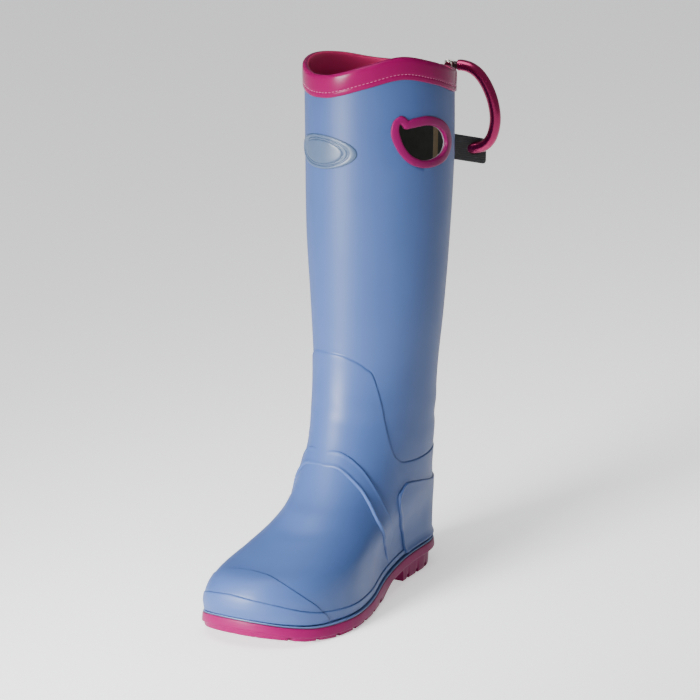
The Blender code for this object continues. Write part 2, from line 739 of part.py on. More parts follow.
def slab(name, low, high):
    """Box between two corners, in a plane's own axes."""
    points = [(x, y, z) for x in (low[0], high[0]) for y in (low[1], high[1]) for z in (low[2], high[2])]
    faces = [(0, 1, 3, 2), (4, 5, 7, 6), (0, 1, 5, 4), (2, 3, 7, 6), (0, 2, 6, 4), (1, 3, 7, 5)]
    return solid(name, points, faces)


def disc(name, radius, half_length, sides, finish=None):
    """Round bar on the hinge's axis."""
    points = [(radius * math.cos(t), radius * math.sin(t), z)
              for z in (-half_length, half_length) for t in angles(sides)]
    faces = [tuple(range(sides)), tuple(range(sides, 2 * sides))]
    faces += [(j, (j + 1) % sides, sides + (j + 1) % sides, sides + j) for j in range(sides)]
    return solid(name, points, faces, finish)


def carabiner():
    """Rod body, hinged gate and hinge pin. The gate's own origin is on the hinge's axis."""
    place = upright_plane(CLIP_TURN, slot_middle())
    hinge = place @ Matrix.Translation((*HINGE, 0.0))
    path = np.array(CLIP_PATH) * MM
    body = tube("carabiner_body", smooth_open(path, 2), CLIP_ROD, CLIP_SIDES,
                material("pink_anodised", PINK, 0.25, 0.9))
    body.matrix_world = place
    reach = 0.0030
    sink = 0.0020
    half = TONGUE / 2
    tongue = slab("tongue_form", (HINGE[0] - reach, HINGE[1] - reach, -half),
                  (path[0][0] + sink, HINGE[1] + reach, half))
    tongue.matrix_world = place
    boolean(body, tongue, "UNION")
    bore = disc("hinge_bore", PIN_RADIUS + GAP, 2 * CLIP_ROD, 12)
    bore.matrix_world = hinge
    boolean(body, bore, "DIFFERENCE")

    run = path[-1] - np.array(HINGE)
    length = np.linalg.norm(run)
    run /= length
    head = 0.0036
    gate_path = [run * d for d in (-head, 0.0, length / 2, length - GATE_CLEARANCE)]
    gate = tube("carabiner_gate", gate_path, GATE_ROD, CLIP_SIDES, material("silver_gate", SILVER, 0.3, 1.0))
    gate.matrix_world = hinge
    slot_half = half + GAP
    slot_depth = 0.0058
    fork = slab("fork_slot", (-2 * GATE_ROD, -slot_depth, -slot_half), (2 * GATE_ROD, 2 * head, slot_half))
    fork.matrix_world = hinge
    boolean(gate, fork, "DIFFERENCE")
    boolean(gate, bore, "DIFFERENCE")

    pin = disc("carabiner_pin", PIN_RADIUS, GATE_ROD * 0.8, 10, material("steel_pin", SILVER, 0.3, 1.0))
    pin.matrix_world = hinge
    return body, gate, pin


def pull_tab():
    """Webbing tab on the back of the shaft, with a slot for the clip."""
    place = upright_plane(TAB_TURN, back_of_shaft())
    inverse = place.inverted()
    half = TAB_THICK / 2
    theta = math.pi + np.radians(np.linspace(-30, 30, 61))

    def reach(z, across):
        """Distance out at which a line along the tab meets the shaft."""
        row = row_at_height(theta, np.full_like(theta, z))
        contact = [inverse @ Matrix.Translation(p) for p in upper_point(theta, row, GAP)]
        contact.sort(key=lambda m: m.translation.z)
        return np.interp(across, [m.translation.z for m in contact], [m.translation.x for m in contact])

    far = TAB_LENGTH
    outline = [(0.0, 0.0), (far - TAB_CORNER, 0.0), (far, TAB_CORNER), (far, TAB_HEIGHT - TAB_CORNER),
               (far - TAB_CORNER, TAB_HEIGHT), (0.0, TAB_HEIGHT)]
    points = []
    for across in (-half, half):
        for out, rise in outline:
            z = TAB_TOP - TAB_HEIGHT + rise - TAB_DROOP * out / far
            points.append((out if out else reach(z, across), z, across))
    count = len(outline)
    faces = [tuple(range(count)), tuple(range(count, 2 * count))]
    faces += [(j, (j + 1) % count, count + (j + 1) % count, count + j) for j in range(count)]
    made = solid("pull_tab", points, faces, material("black_webbing", BLACK, 0.85))
    made.matrix_world = place
    rod_z = np.interp(0.0, *zip(*sorted(CLIP_PATH[10:14]))) * MM
    side = SLOT_SIZE / 2
    slot = slab("slot_cutter", (-3 * side, rod_z - side, -side), (3 * side, rod_z + side, side))
    slot.matrix_world = upright_plane(CLIP_TURN, slot_middle())
    boolean(made, slot, "DIFFERENCE")
    return made


def main():
    for old in list(bpy.data.objects):
        bpy.data.objects.remove(old)
    boot = bpy.data.objects.new("boot", None)
    bpy.context.scene.collection.objects.link(boot)
    pieces = [upper(), outsole(), welt(), insole(), collar_binding(), badge(), pull_tab()]
    pieces += [hole_trim("lateral", 1), hole_trim("medial", -1)]
    pieces += carabiner()
    for piece in pieces:
        piece.parent = boot


main()
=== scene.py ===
"""Looks of the left rubber boot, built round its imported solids.

Metres, +Z up: the toe points along -Y and the outer (lateral) side lies along +X. Tables are in
millimetres and degrees. The forms come from the same sections as the solids, at a finer pitch.
"""
import math

import bmesh
import bpy
import numpy as np
from mathutils import Matrix, Vector


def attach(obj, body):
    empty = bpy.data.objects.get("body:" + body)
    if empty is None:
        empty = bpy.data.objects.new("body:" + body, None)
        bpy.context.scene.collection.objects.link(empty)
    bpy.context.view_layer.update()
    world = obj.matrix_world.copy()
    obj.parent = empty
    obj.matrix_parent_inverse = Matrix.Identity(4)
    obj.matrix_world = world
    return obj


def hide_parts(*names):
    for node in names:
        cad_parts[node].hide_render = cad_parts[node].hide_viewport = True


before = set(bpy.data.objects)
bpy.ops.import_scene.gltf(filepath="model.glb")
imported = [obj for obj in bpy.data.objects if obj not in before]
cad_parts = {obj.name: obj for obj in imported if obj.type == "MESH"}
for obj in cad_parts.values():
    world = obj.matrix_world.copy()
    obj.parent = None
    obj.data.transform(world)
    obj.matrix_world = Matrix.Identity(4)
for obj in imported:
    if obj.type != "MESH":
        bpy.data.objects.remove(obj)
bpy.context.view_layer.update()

# Sizes shared with the solids
MM = 0.001
SOLE_LENGTH = 0.265
HEEL_REST = 0.038  # from the back of the sole to the origin
WALL = 0.0020  # rubber wall of the shaft
GAP = 0.0003  # clearance between pieces that meet
FOOT_RELIEF = 0.0008  # the foot stands proud of the shaft
COUNTER_RELIEF = 0.0019
FOXING_RELIEF = 0.0016
TOE_CAP_STEP = 0.0007
WELT_HEIGHT = 0.0015
UPPER_LEDGE = 0.0034  # the wall stands this far inside the sole's edge
INSOLE_CLEARANCE = 0.0006

# The sole seen from above: share of the length from the heel, half width, centre line to the outer side
SOLE_PLAN = (
    (0.00, 31.0, 0.0), (0.16, 31.5, 0.0), (0.42, 33.5, 3.5), (0.60, 44.0, 5.0), (0.70, 48.0, 3.5),
    (0.85, 49.0, -5.0), (1.00, 47.0, -14.0),
)
HEEL_ROUND = 0.040
HEEL_POWER = 2.2
TOE_ROUND = 0.056
TOE_POWER = 2.35
# The sole seen from the side: share of the length, height of its top
SOLE_TOP = (
    (0.00, 22.5), (0.28, 21.5), (0.45, 15.5), (0.62, 11.0), (0.74, 10.5), (0.88, 13.2), (0.94, 16.9),
    (1.00, 22.0),
)
# Distance from the back of the sole, height of the tread, inset of the tread under the edge strip
SOLE_TREAD = (
    (0.0, 0.0, 4.0), (70.0, 0.0, 4.0), (72.5, 10.0, 3.0), (96.0, 8.5, 1.5), (117.0, 0.0, 1.2),
    (208.0, 0.0, 1.2), (236.0, 3.0, 1.2), (265.0, 10.0, 1.2),
)
STRIP_HEIGHT = 0.0072
GROOVE_WIDTH = 0.0042
GROOVE_DEPTH = 0.0034
GROOVE_WALL = 0.0004
STRIP_LEAST = 0.0008  # least height between the tread and the edge strip
# First and last groove of each tread area, from the back of the sole, and the number of grooves
GROOVES = ((0.014, 0.062, 4), (0.126, 0.245, 7))

# Sections of the upper, a ring each: row, back and front of the ring (distance from the back of the
# sole, height), half width, shift to the outer side, share of the length where it is widest,
# roundness at the back and front, share of the sole's outline in it, twist about its middle
UPPER = (
    (0, 2.8, 24.6, 262.0, 24.1, 46.5, 0.0, 0.50, 2.2, 2.2, 1.00, 0),      # feather line
    (1, 2.0, 35.0, 263.5, 32.8, 46.5, 0.0, 0.50, 2.2, 2.2, 1.00, 0),
    (2, 2.0, 47.5, 261.0, 43.0, 46.0, 0.0, 0.55, 2.4, 2.3, 0.90, 0),      # heel cup and toe wall
    (3, 3.0, 58.5, 252.0, 53.0, 44.5, 0.0, 0.55, 2.5, 2.3, 0.65, 0),
    (4, 4.5, 70.0, 231.5, 60.5, 42.0, 0.5, 0.52, 2.5, 2.3, 0.35, 0),      # top of the toe
    (5, 7.0, 81.0, 207.0, 69.0, 40.0, 1.0, 0.50, 2.5, 2.2, 0.10, 0),      # vamp
    (6, 9.5, 92.5, 183.0, 81.0, 38.5, 1.5, 0.48, 2.5, 2.2, 0.00, 0),
    (7, 12.0, 106.0, 161.5, 98.5, 38.0, 1.5, 0.48, 2.5, 2.2, 0.00, 2),    # instep
    (8, 13.5, 122.0, 144.5, 124.5, 37.5, 2.5, 0.49, 2.4, 2.1, 0.00, 5),
    (9, 14.5, 145.5, 133.0, 156.0, 38.5, 2.0, 0.50, 2.3, 2.1, 0.00, 9),   # ankle
    (10, 13.5, 176.0, 128.0, 190.0, 41.0, 1.5, 0.50, 2.2, 2.0, 0.00, 12),
    (11, 9.5, 223.0, 128.0, 238.0, 45.5, 2.0, 0.50, 2.1, 2.0, 0.00, 14),  # shin
    (12, 4.0, 280.0, 129.5, 290.0, 49.5, 2.0, 0.50, 2.0, 2.0, 0.00, 15),
    (13, 1.0, 345.0, 130.0, 350.0, 51.5, 2.5, 0.50, 2.0, 2.0, 0.00, 15),  # calf
    (14, 0.5, 414.0, 130.0, 414.0, 51.5, 2.0, 0.50, 2.0, 2.0, 0.00, 15),  # collar
)
HALF_WIDTH_COLUMN = 5
TOP_ROW = UPPER[-1][0]
SAG_ENDS_AT = 6  # row by which the sections no longer follow the sole's curve
WAVE_STARTS_AT = 12  # row from which the collar's wave grows
# The collar's wave: turn from the front, rise on the outer side, rise on the inner side
COLLAR_WAVE = (
    (0, 0.4, 0.3), (9, 0.8, 0.5), (21, 3.2, 2.2), (40, 8.5, 6.0), (68, 14.5, 9.0), (95, 8.5, 6.5),
    (124, -1.0, 0.0), (180, -4.0, -4.0),
)

# Lines of the upper's relief, the same on both sides: turn from the front, row
FOXING_LINE = ((0, 1.85), (25, 1.50), (43, 1.05), (60, 0.75), (80, 0.60), (110, 0.52), (180, 0.55))
SHIN_LINE = (
    (0, 10.20), (25, 10.15), (43, 9.97), (50, 9.82), (55, 9.40), (61, 8.74), (66, 8.25), (72, 7.80),
    (80, 7.45), (95, 7.20), (110, 7.10), (180, 7.10),
)
TOE_CAP_LINE = ((0, 3.55), (12, 3.40), (22, 3.05), (32, 2.50), (40, 1.90), (46, 1.35), (52, 0.40))
# Turn, row of the band's front edge, row of its rear edge
INSTEP_BAND = (
    (0, 7.62, 8.05), (24, 7.48, 7.98), (36, 7.18, 7.76), (48, 6.72, 7.38), (60, 5.98, 6.78),
    (72, 5.02, 5.95), (86, 3.55, 4.75), (97, 1.95, 3.50), (104, 0.45, 2.50),
)
# Turn, row of the counter's lower edge, row of its upper edge
HEEL_COUNTER = (
    (88, 5.55, 5.95), (91, 5.10, 6.16), (100, 3.96, 6.14), (108, 2.80, 5.92), (114, 1.60, 5.76),
    (118, 0.06, 5.62), (135, 0.06, 5.04), (180, 0.06, 4.70),
)
# Hand-hole: turn and height of the opening, turn and height of the trim's outer edge
HAND_HOLE = (
    (66.0, 378.6, 65.8, 385.1), (68.2, 377.2, 69.6, 384.2), (70.6, 374.7, 73.0, 381.4),
    (77.0, 375.3, 78.0, 382.6), (90.0, 375.9, 90.4, 383.0), (100.5, 373.2, 103.0, 379.3),
    (108.4, 367.5, 114.0, 372.5), (112.6, 359.5, 121.5, 361.5), (110.5, 353.6, 119.8, 351.0),
    (102.5, 348.8, 107.5, 343.3), (90.0, 347.8, 92.0, 342.0), (77.0, 352.8, 76.1, 346.5),
    (69.5, 361.3, 65.5, 356.6), (65.8, 371.0, 59.3, 370.2), (65.2, 375.6, 60.6, 380.5),
)
HOLE_CUT = 0.28  # place of the cut in the rubber, from the opening to the trim's edge

BADGE_WIDTH = 0.0560
BADGE_HEIGHT = 0.0260
BADGE_Z = 0.3570

# A webbing tab runs back from the shaft, and the clip passes through the slot in it. Each stands in
# an upright plane of its own, turned from straight back to the outer side
TAB_TURN = math.radians(30)
TAB_LENGTH = 0.0455
TAB_TOP = 0.3575  # at the shaft
TAB_HEIGHT = 0.0208
TAB_DROOP = 0.0100  # of the far end
TAB_THICK = 0.0036  # two layers of webbing
TAB_CORNER = 0.0030
SLOT_OUT = 0.0330  # middle of the slot, from the back of the shaft
CLIP_TURN = math.radians(75)
CLIP_ROD = 0.0046  # radius
CLIP_BEVEL = 0.0008  # at the rod's ends
# Middle of the rod from the hinge round to the nose: place from the slot's middle, height
CLIP_PATH = (
    (-12.8, 407.4), (-8.5, 407.4), (-2.0, 405.6), (4.4, 401.2), (10.0, 393.8), (14.4, 384.8),
    (17.2, 375.6), (18.5, 365.6), (17.4, 356.0), (14.6, 348.6), (9.6, 343.4), (2.0, 341.0), (-7.0, 340.8),
    (-15.5, 343.2), (-21.5, 348.6), (-24.4, 356.5), (-23.95, 361.1), (-23.53, 366.05),
)
HINGE = (-0.0200, 0.4074)
GATE_ROD = 0.0040  # radius
GATE_BEVEL = 0.0006
GATE_CLEARANCE = 0.0005  # at the nose
PIN_RADIUS = 0.0013
TONGUE = 0.0030  # thickness of the body's tongue in the gate's fork

# Pitch of the dressed forms
SKIN_COLUMNS = 260
FOXING_ROWS = 12
FOOT_ROWS = 84
SHAFT_ROWS = 62
LINING_ROWS = 46
PANEL_ROWS = 22
CAP_COLUMNS = 101
BAND_COLUMNS = 161
COUNTER_COLUMNS = 141
TAPE_ROWS = 70
TRIM_STEPS = 14
SOLE_STATIONS = 131
ROD_SIDES = 24
CLIP_STEPS = 8  # for each point of its path
GATE_STEPS = 40
HALVINGS = 40  # of a search

# Edge of a raised panel: distance in from its line, share of its height
PANEL_EDGE = (
    (0.0, -0.35), (0.15, 0.25), (0.4, 0.62), (0.8, 0.88), (1.2, 0.97), (1.7, 1.0), (2.3, 1.0), (3.2, 1.0),
    (4.2, 1.0),
)
EDGE_MOST = 0.42  # share of a panel's width that an edge may take
PANEL_FOOT = 0.06  # row where the panels start, over the feather line
PANEL_SUNK = 0.0004  # depth under the skin of a panel that has run out
BEAD_INSET = 1.9  # from a panel's edge to its bead
BEAD_REACH = 1.3
BEAD_HEIGHT = 0.0009
CAP_LEAST = 0.2  # lowest row of the toe cap's line
CAP_MEETS = 48.5  # turn at which that line meets the foxing's
BAND_HEIGHT = 0.0009
BAND_REAR_BEAD = 0.0003
BAND_FADE = 7.0  # turn over which the instep band's ends run out
BAND_FADE_POWER = 0.6
BAND_FRONT = (4, 22, 0.25)  # turn where its low front begins to rise, over how many, share there
COUNTER_ROUND = 6.0  # turn over which the heel counter's front end rounds off
COUNTER_REAR_BEAD = 0.0002
# Step down from a raised row to the next: rows from the line, share of the step still standing
STEP_ROWS = (
    (-0.10, 1.0), (-0.045, 0.96), (-0.015, 0.75), (0.0, 0.40), (0.012, -0.25), (0.04, -0.10), (0.09, 0.0),
)
# Rounding of the wall's foot: row, depth
FOOT_ROUND = ((0.0, 0.0012), (0.05, 0.0008), (0.10, 0.0003), (0.15, 0.0))
# Soft troughs (-) and ridges (+) of the worn rubber: turn, row, reach in turn, reach in rows, slant
# (rows per degree), height
CREASES = (
    (8, 5.45, 46, 0.42, 0.000, -0.9), (-6, 6.15, 50, 0.30, 0.000, 0.5),
    (20, 8.75, 48, 0.30, -0.004, -0.7), (14, 9.20, 44, 0.26, -0.003, 0.5),
    (150, 8.55, 50, 0.34, 0.004, -0.8), (160, 9.15, 46, 0.30, 0.004, 0.5),
    (-140, 8.40, 46, 0.34, -0.004, -0.7), (62, 11.40, 26, 0.70, 0.010, -0.5),
    (-80, 11.90, 30, 0.60, -0.008, -0.5), (110, 12.40, 24, 0.55, 0.000, 0.4),
)

# The binding's section: drop from the rim, height over the rubber
BINDING_SECTION = (
    (15.9, 0.0), (16.0, 0.7), (15.8, 1.2), (15.2, 1.45), (13.2, 1.5), (12.3, 1.45), (11.9, 1.15),
    (11.5, 1.45), (10.0, 1.6), (6.0, 1.7), (2.5, 1.65), (0.6, 1.5), (-0.5, 1.15), (-1.2, 0.45),
    (-1.5, -0.5), (-1.5, -1.5), (-1.2, -2.5), (-0.5, -3.15), (0.6, -3.5), (3.0, -3.6), (10.0, -3.6),
    (17.2, -3.5), (17.9, -3.2), (18.0, -2.4),
)
STITCH_DROP = 11.9
STITCH_LENGTH = 2.3
STITCH_PITCH = 3.1
STITCH_RADIUS = 0.32
STITCH_ROW = 13.8  # where the rubber's slope is taken for the stitches
STITCH_STEPS = (0.0, 0.15, 0.5, 0.85, 1.0)
# The trim's section: share from the opening to its edge, height over the rubber
TRIM_SECTION = (
    (0.06, -3.0), (0.01, -2.7), (0.0, -2.2), (0.0, -1.6), (0.0, 0.5), (0.02, 0.95), (0.09, 1.25),
    (0.25, 1.42), (0.50, 1.48), (0.75, 1.42), (0.91, 1.22), (0.98, 0.9), (1.0, 0.45), (1.0, 0.05),
    (0.62, 0.05), (0.30, 0.05), (0.30, -2.05), (0.62, -2.05), (0.75, -2.2), (0.75, -2.8), (0.68, -3.2),
    (0.40, -3.3), (0.15, -3.25),
)
PALE_TUNNEL_TOP = -1.6
HOLE_ROUND_FROM = 85  # turn behind which the hole's outline is an even round
HOLE_ROUND_OVER = 15
WELT_SHADOW_ROWS = 2  # rows of the welt's lower half, painted dark as the shadow in the gap above the sole
# The badge's section: share of its radius, height over the rubber
BADGE_SECTION = (
    (1.03, -0.1), (1.02, 0.45), (1.0, 0.85), (0.975, 1.15), (0.94, 1.3), (0.89, 1.3), (0.86, 1.1),
    (0.84, 0.6), (0.825, 0.35), (0.805, 0.6), (0.79, 0.95), (0.765, 1.05), (0.735, 1.0), (0.72, 0.6),
    (0.705, 0.45), (0.69, 0.75), (0.67, 1.2), (0.635, 1.4), (0.58, 1.45), (0.40, 1.5), (0.20, 1.52),
    (0.08, 1.52),
)
BADGE_POINTS = 96
TAPE_HALF_WIDTH = 0.0030
TAPE_ENDS = (6.5, 13.62)  # rows
SHAFT_RADIUS = 0.055  # at the back, where the tape runs
# The hinge pin's section: share of its radius, place along it
PIN_SECTION = (
    (1.2, -5.0), (1.9, -4.9), (2.25, -4.6), (2.3, -4.15), (1.0, -4.1), (1.0, 4.1), (2.3, 4.15),
    (2.25, 4.6), (1.9, 4.9), (1.2, 5.0),
)
SHARP_ANGLE = math.radians(40)


def spline(rows, column, at):
    """Smooth curve through a table's rows: column 0 is the place, `column` the value."""
    places = np.array([row[0] for row in rows], float)
    values = np.array([row[column] for row in rows], float)
    at = np.clip(np.asarray(at, float), places[0], places[-1])
    step = np.diff(places)
    slope = np.diff(values) / step
    tangent = np.empty_like(values)
    tangent[1:-1] = (slope[:-1] * step[1:] + slope[1:] * step[:-1]) / (step[:-1] + step[1:])
    tangent[0] = slope[0]
    tangent[-1] = slope[-1]
    i = np.clip(np.searchsorted(places, at, side="right") - 1, 0, len(step) - 1)
    t = (at - places[i]) / step[i]
    rise = ease(t)
    bend = t * (1 - t) ** 2 * tangent[i] - t * t * (1 - t) * tangent[i + 1]
    return values[i] * (1 - rise) + values[i + 1] * rise + step[i] * bend


def linear(rows, column, at):
    """Straight runs between a table's rows."""
    return np.interp(at, [row[0] for row in rows], [row[column] for row in rows])


def turn_degrees(theta):
    """Turn from the front, 0 to 180, on either side."""
    return np.degrees(np.abs((theta + math.pi) % (2 * math.pi) - math.pi))


def angles(count):
    return np.arange(count) * 2 * math.pi / count


def ease(t):
    return t * t * (3 - 2 * t)


def unit(vectors):
    return vectors / np.linalg.norm(vectors, axis=-1, keepdims=True)


def run_along(points):
    """Length along a series of points, from the first."""
    steps = np.linalg.norm(np.diff(points, axis=0), axis=-1)
    return np.concatenate([np.zeros((1, *steps.shape[1:])), np.cumsum(steps, axis=0)])


# Sole outline

def sole_width(q):
    """Half width, half width before the ends are rounded, and centre line, at a share of the length."""
    along = q * SOLE_LENGTH
    full = spline(SOLE_PLAN, 1, q) * MM
    heel = np.clip(1 - along / HEEL_ROUND, 0, 1)
    toe = np.clip(1 - (SOLE_LENGTH - along) / TOE_ROUND, 0, 1)
    half = full * (1 - heel ** HEEL_POWER) ** (1 / HEEL_POWER) * (1 - toe ** TOE_POWER) ** (1 / TOE_POWER)
    return half, full, spline(SOLE_PLAN, 2, q) * MM


def sole_top(along):
    return spline(SOLE_TOP, 1, along / SOLE_LENGTH) * MM


def seat(ring, rise):
    """Puts a ring of points at a rise over the sole's top."""
    ring[:, 2] = sole_top(HEEL_REST - ring[:, 1]) + rise


def sole_edge(theta, inset):
    """Points of the sole's outline, moved inward by inset: x and distance from the back."""
    def outline(t):
        q = (1 + np.cos(t)) / 2
        half, _, centre = sole_width(q)
        return np.stack([np.sign(np.sin(t)) * half + centre, q * SOLE_LENGTH], -1)

    nudge = 0.004
    run = unit(outline(theta + nudge) - outline(theta - nudge))
    inward = np.stack([run[..., 1], -run[..., 0]], -1)
    return outline(theta) + inward * np.asarray(inset)[..., None]


# Upper surface

def egg(q, widest, back_n, front_n):
    """Half width of an egg-shaped ring, 0 to 1, at a share of its length."""
    back = np.clip((widest - q) / widest, 0, 1)
    front = np.clip((q - widest) / (1 - widest), 0, 1)
    return np.where(q < widest, (1 - back ** back_n) ** (1 / back_n), (1 - front ** front_n) ** (1 / front_n))


def collar_wave(theta, row):
    grown = ease(np.clip((row - WAVE_STARTS_AT) / (TOP_ROW - WAVE_STARTS_AT), 0, 1))
    turn = turn_degrees(theta)
    outer = np.sin(theta) >= 0
    return np.where(outer, spline(COLLAR_WAVE, 1, turn), spline(COLLAR_WAVE, 2, turn)) * MM * grown


def upper_base(theta, row):
    """Point of the upper's smooth outer form: theta turns from the front to the outer side."""
    theta, row = np.broadcast_arrays(np.asarray(theta, float), np.asarray(row, float))
    q = (1 + np.cos(theta)) / 2
    values = [spline(UPPER, k, row) for k in range(1, len(UPPER[0]))]
    back, back_z, front, front_z, half, shift = (value * MM for value in values[:6])
    widest, back_n, front_n, sole_share, twist = values[6:]
    along = back + (front - back) * q
    follow = np.clip(1 - row / SAG_ENDS_AT, 0, 1)
    share = along / SOLE_LENGTH
    straight = sole_top(0.0) + (sole_top(SOLE_LENGTH) - sole_top(0.0)) * share
    z = back_z + (front_z - back_z) * q + (sole_top(along) - straight) * follow + collar_wave(theta, row)

    sole_half, full, centre = sole_width(q)
    like_sole = sole_half * (1 - UPPER_LEDGE / full)
    like_egg = half * egg(q, widest, back_n, front_n)
    half_across = sole_share * like_sole + (1 - sole_share) * like_egg
    across = np.sign(np.sin(theta)) * half_across + sole_share * centre

    middle = (back + front) / 2
    twist = np.radians(twist)
    x = shift + across * np.cos(twist) - (along - middle) * np.sin(twist)
    turned = middle + across * np.sin(twist) + (along - middle) * np.cos(twist)
    return np.stack([x, HEEL_REST - turned, z], -1)


def upper_normal(theta, row):
    nudge_turn, nudge_row = 0.01, 0.02
    around = upper_base(theta + nudge_turn, row) - upper_base(theta - nudge_turn, row)
    above = upper_base(theta, np.minimum(row + nudge_row, TOP_ROW))
    below = upper_base(theta, np.maximum(row - nudge_row, 0))
    normal = np.cross(around, above - below)
    # Level at the feather line, so that the wall's foot keeps its height
    normal[..., 2] *= np.clip(row, 0, 1)
    return unit(normal)


def upper_point(theta, row, offset=0.0):
    theta, row = np.broadcast_arrays(np.asarray(theta, float), np.asarray(row, float))
    return upper_base(theta, row) + upper_normal(theta, row) * np.asarray(offset, float)[..., None]


def row_at_height(theta, z):
    """Row at which the surface reaches a height, for each angle."""
    low = np.zeros_like(theta)
    high = np.full_like(theta, TOP_ROW)
    for _ in range(HALVINGS):
        middle = (low + high) / 2
        below = upper_base(theta, middle)[..., 2] < z
        low = np.where(below, middle, low)
        high = np.where(below, high, middle)
    return (low + high) / 2


def smooth_closed(points, steps):
    """Closed smooth curve through points, with steps points for each of them."""
    points = np.asarray(points, float)
    before, after, beyond = (np.roll(points, k, axis=0) for k in (1, -1, -2))
    made = []
    for i in range(len(points)):
        for t in np.arange(steps) / steps:
            a, b, c, d = before[i], points[i], after[i], beyond[i]
            made.append(b + 0.5 * t * (c - a + t * (2 * a - 5 * b + 4 * c - d + t * (3 * (b - c) + d - a))))
    return np.array(made)


def smooth_open(points, steps):
    """Smooth curve through points, ends included."""
    points = np.asarray(points, float)
    last = len(points) - 1
    at = np.linspace(0, last, last * steps + 1)
    table = np.column_stack([np.arange(last + 1), points])
    return np.stack([spline(table, k + 1, at) for k in range(points.shape[1])], -1)


# Materials

def put(node, values):
    for name, value in values.items():
        node.inputs[name].default_value = value


def finish(name, colour, second, patch, roughness, spread=0.05, grain=0.0006, height=0.00003,
           metallic=0.0, coat=0.0, sheen=0.0, specular=0.5):
    """Mottled colour, uneven gloss and fine grain; patch and grain are the sizes of both."""
    made = bpy.data.materials.new(name)
    made.use_nodes = True
    tree = made.node_tree
    shader = tree.nodes["Principled BSDF"]
    put(shader, {"Metallic": metallic, "Specular IOR Level": specular, "Sheen Weight": sheen,
                 "Coat Weight": coat, "Coat Roughness": 0.22})
    join = tree.links.new
    place = tree.nodes.new("ShaderNodeTexCoord").outputs["Object"]

    def noise(size, detail):
        node = tree.nodes.new("ShaderNodeTexNoise")
        put(node, {"Scale": 1 / size, "Detail": detail})
        join(place, node.inputs["Vector"])
        return node.outputs["Fac"]

    ramp = tree.nodes.new("ShaderNodeValToRGB")
    for end, position, value in zip(ramp.color_ramp.elements, (0.3, 0.7), (colour, second)):
        end.position = position
        end.color = (*value, 1)
    join(noise(patch, 4), ramp.inputs["Fac"])
    join(ramp.outputs["Color"], shader.inputs["Base Color"])

    gloss = tree.nodes.new("ShaderNodeMapRange")
    put(gloss, {"To Min": roughness - spread, "To Max": roughness + spread})
    join(noise(patch / 3, 6), gloss.inputs["Value"])
    join(gloss.outputs["Result"], shader.inputs["Roughness"])

    bump = tree.nodes.new("ShaderNodeBump")
    put(bump, {"Distance": height, "Strength": 1.0})
    join(noise(grain, 3), bump.inputs["Height"])
    join(bump.outputs["Normal"], shader.inputs["Normal"])
    return made


def weave(made, across, along, height):
    """Adds crossing ribs of two pitches, in the piece's own X and Y, to a material's grain."""
    tree = made.node_tree
    bump = next(node for node in tree.nodes if node.type == "BUMP")
    place = next(node for node in tree.nodes if node.type == "TEX_COORD").outputs["Object"]
    join = tree.links.new
    crossed = tree.nodes.new("ShaderNodeMath")
    crossed.operation = "MULTIPLY"
    for factor, axis, pitch in zip(crossed.inputs, "XY", (along, across)):
        wave = tree.nodes.new("ShaderNodeTexWave")
        wave.bands_direction = axis
        put(wave, {"Scale": math.pi / 10 / pitch, "Distortion": 0.6})
        join(place, wave.inputs["Vector"])
        join(wave.outputs["Fac"], factor)
    second = tree.nodes.new("ShaderNodeBump")
    put(second, {"Distance": height})
    join(crossed.outputs["Value"], second.inputs["Height"])
    join(bump.outputs["Normal"], second.inputs["Normal"])
    join(second.outputs["Normal"], tree.nodes["Principled BSDF"].inputs["Normal"])
    return made


BLUE_RUBBER = finish(
    "blue_rubber_skin", (0.029, 0.057, 0.162), (0.033, 0.063, 0.174), 0.060, 0.46,
    0.05, 0.0007, specular=0.26)
# The welt's two finishes are lit and shaded copies of one blue: the paler one is painted highlight along its
# top, the near-black one is painted shadow in the gap above the sole
WELT_PAINTED_HIGHLIGHT = finish("welt_painted_highlight_rubber", (0.055, 0.095, 0.230), (0.062, 0.104, 0.245), 0.020, 0.45)
WELT_PAINTED_SHADOW = finish("welt_painted_shadow_rubber", (0.008, 0.014, 0.036), (0.010, 0.017, 0.042), 0.020, 0.55)
BADGE_RUBBER = finish(
    "badge_rubber_skin", (0.036, 0.062, 0.115), (0.042, 0.070, 0.126), 0.015, 0.40, 0.05, 0.0005)
PINK_BAND = finish(
    "pink_band_rubber", (0.140, 0.0, 0.044), (0.155, 0.0, 0.049), 0.030, 0.24,
    0.04, 0.0006, 0.00001, specular=0.10)
# Painted light: a much brighter copy of the band's pink for the binding's inner side, where little lamp light
# reaches
PINK_BAND_PAINTED_LIGHT = finish(
    "pink_band_inside_painted_light", (0.450, 0.022, 0.105), (0.490, 0.028, 0.118), 0.030, 0.50, specular=0.10)
PINK_TRIM = finish(
    "pink_trim_rubber", (0.128, 0.0, 0.050), (0.140, 0.0, 0.055), 0.020, 0.42, specular=0.14)
PINK_SOLE = finish(
    "pink_sole_rubber", (0.128, 0.0, 0.045), (0.143, 0.0, 0.050), 0.025, 0.42,
    0.06, 0.0009, 0.00005, specular=0.10)
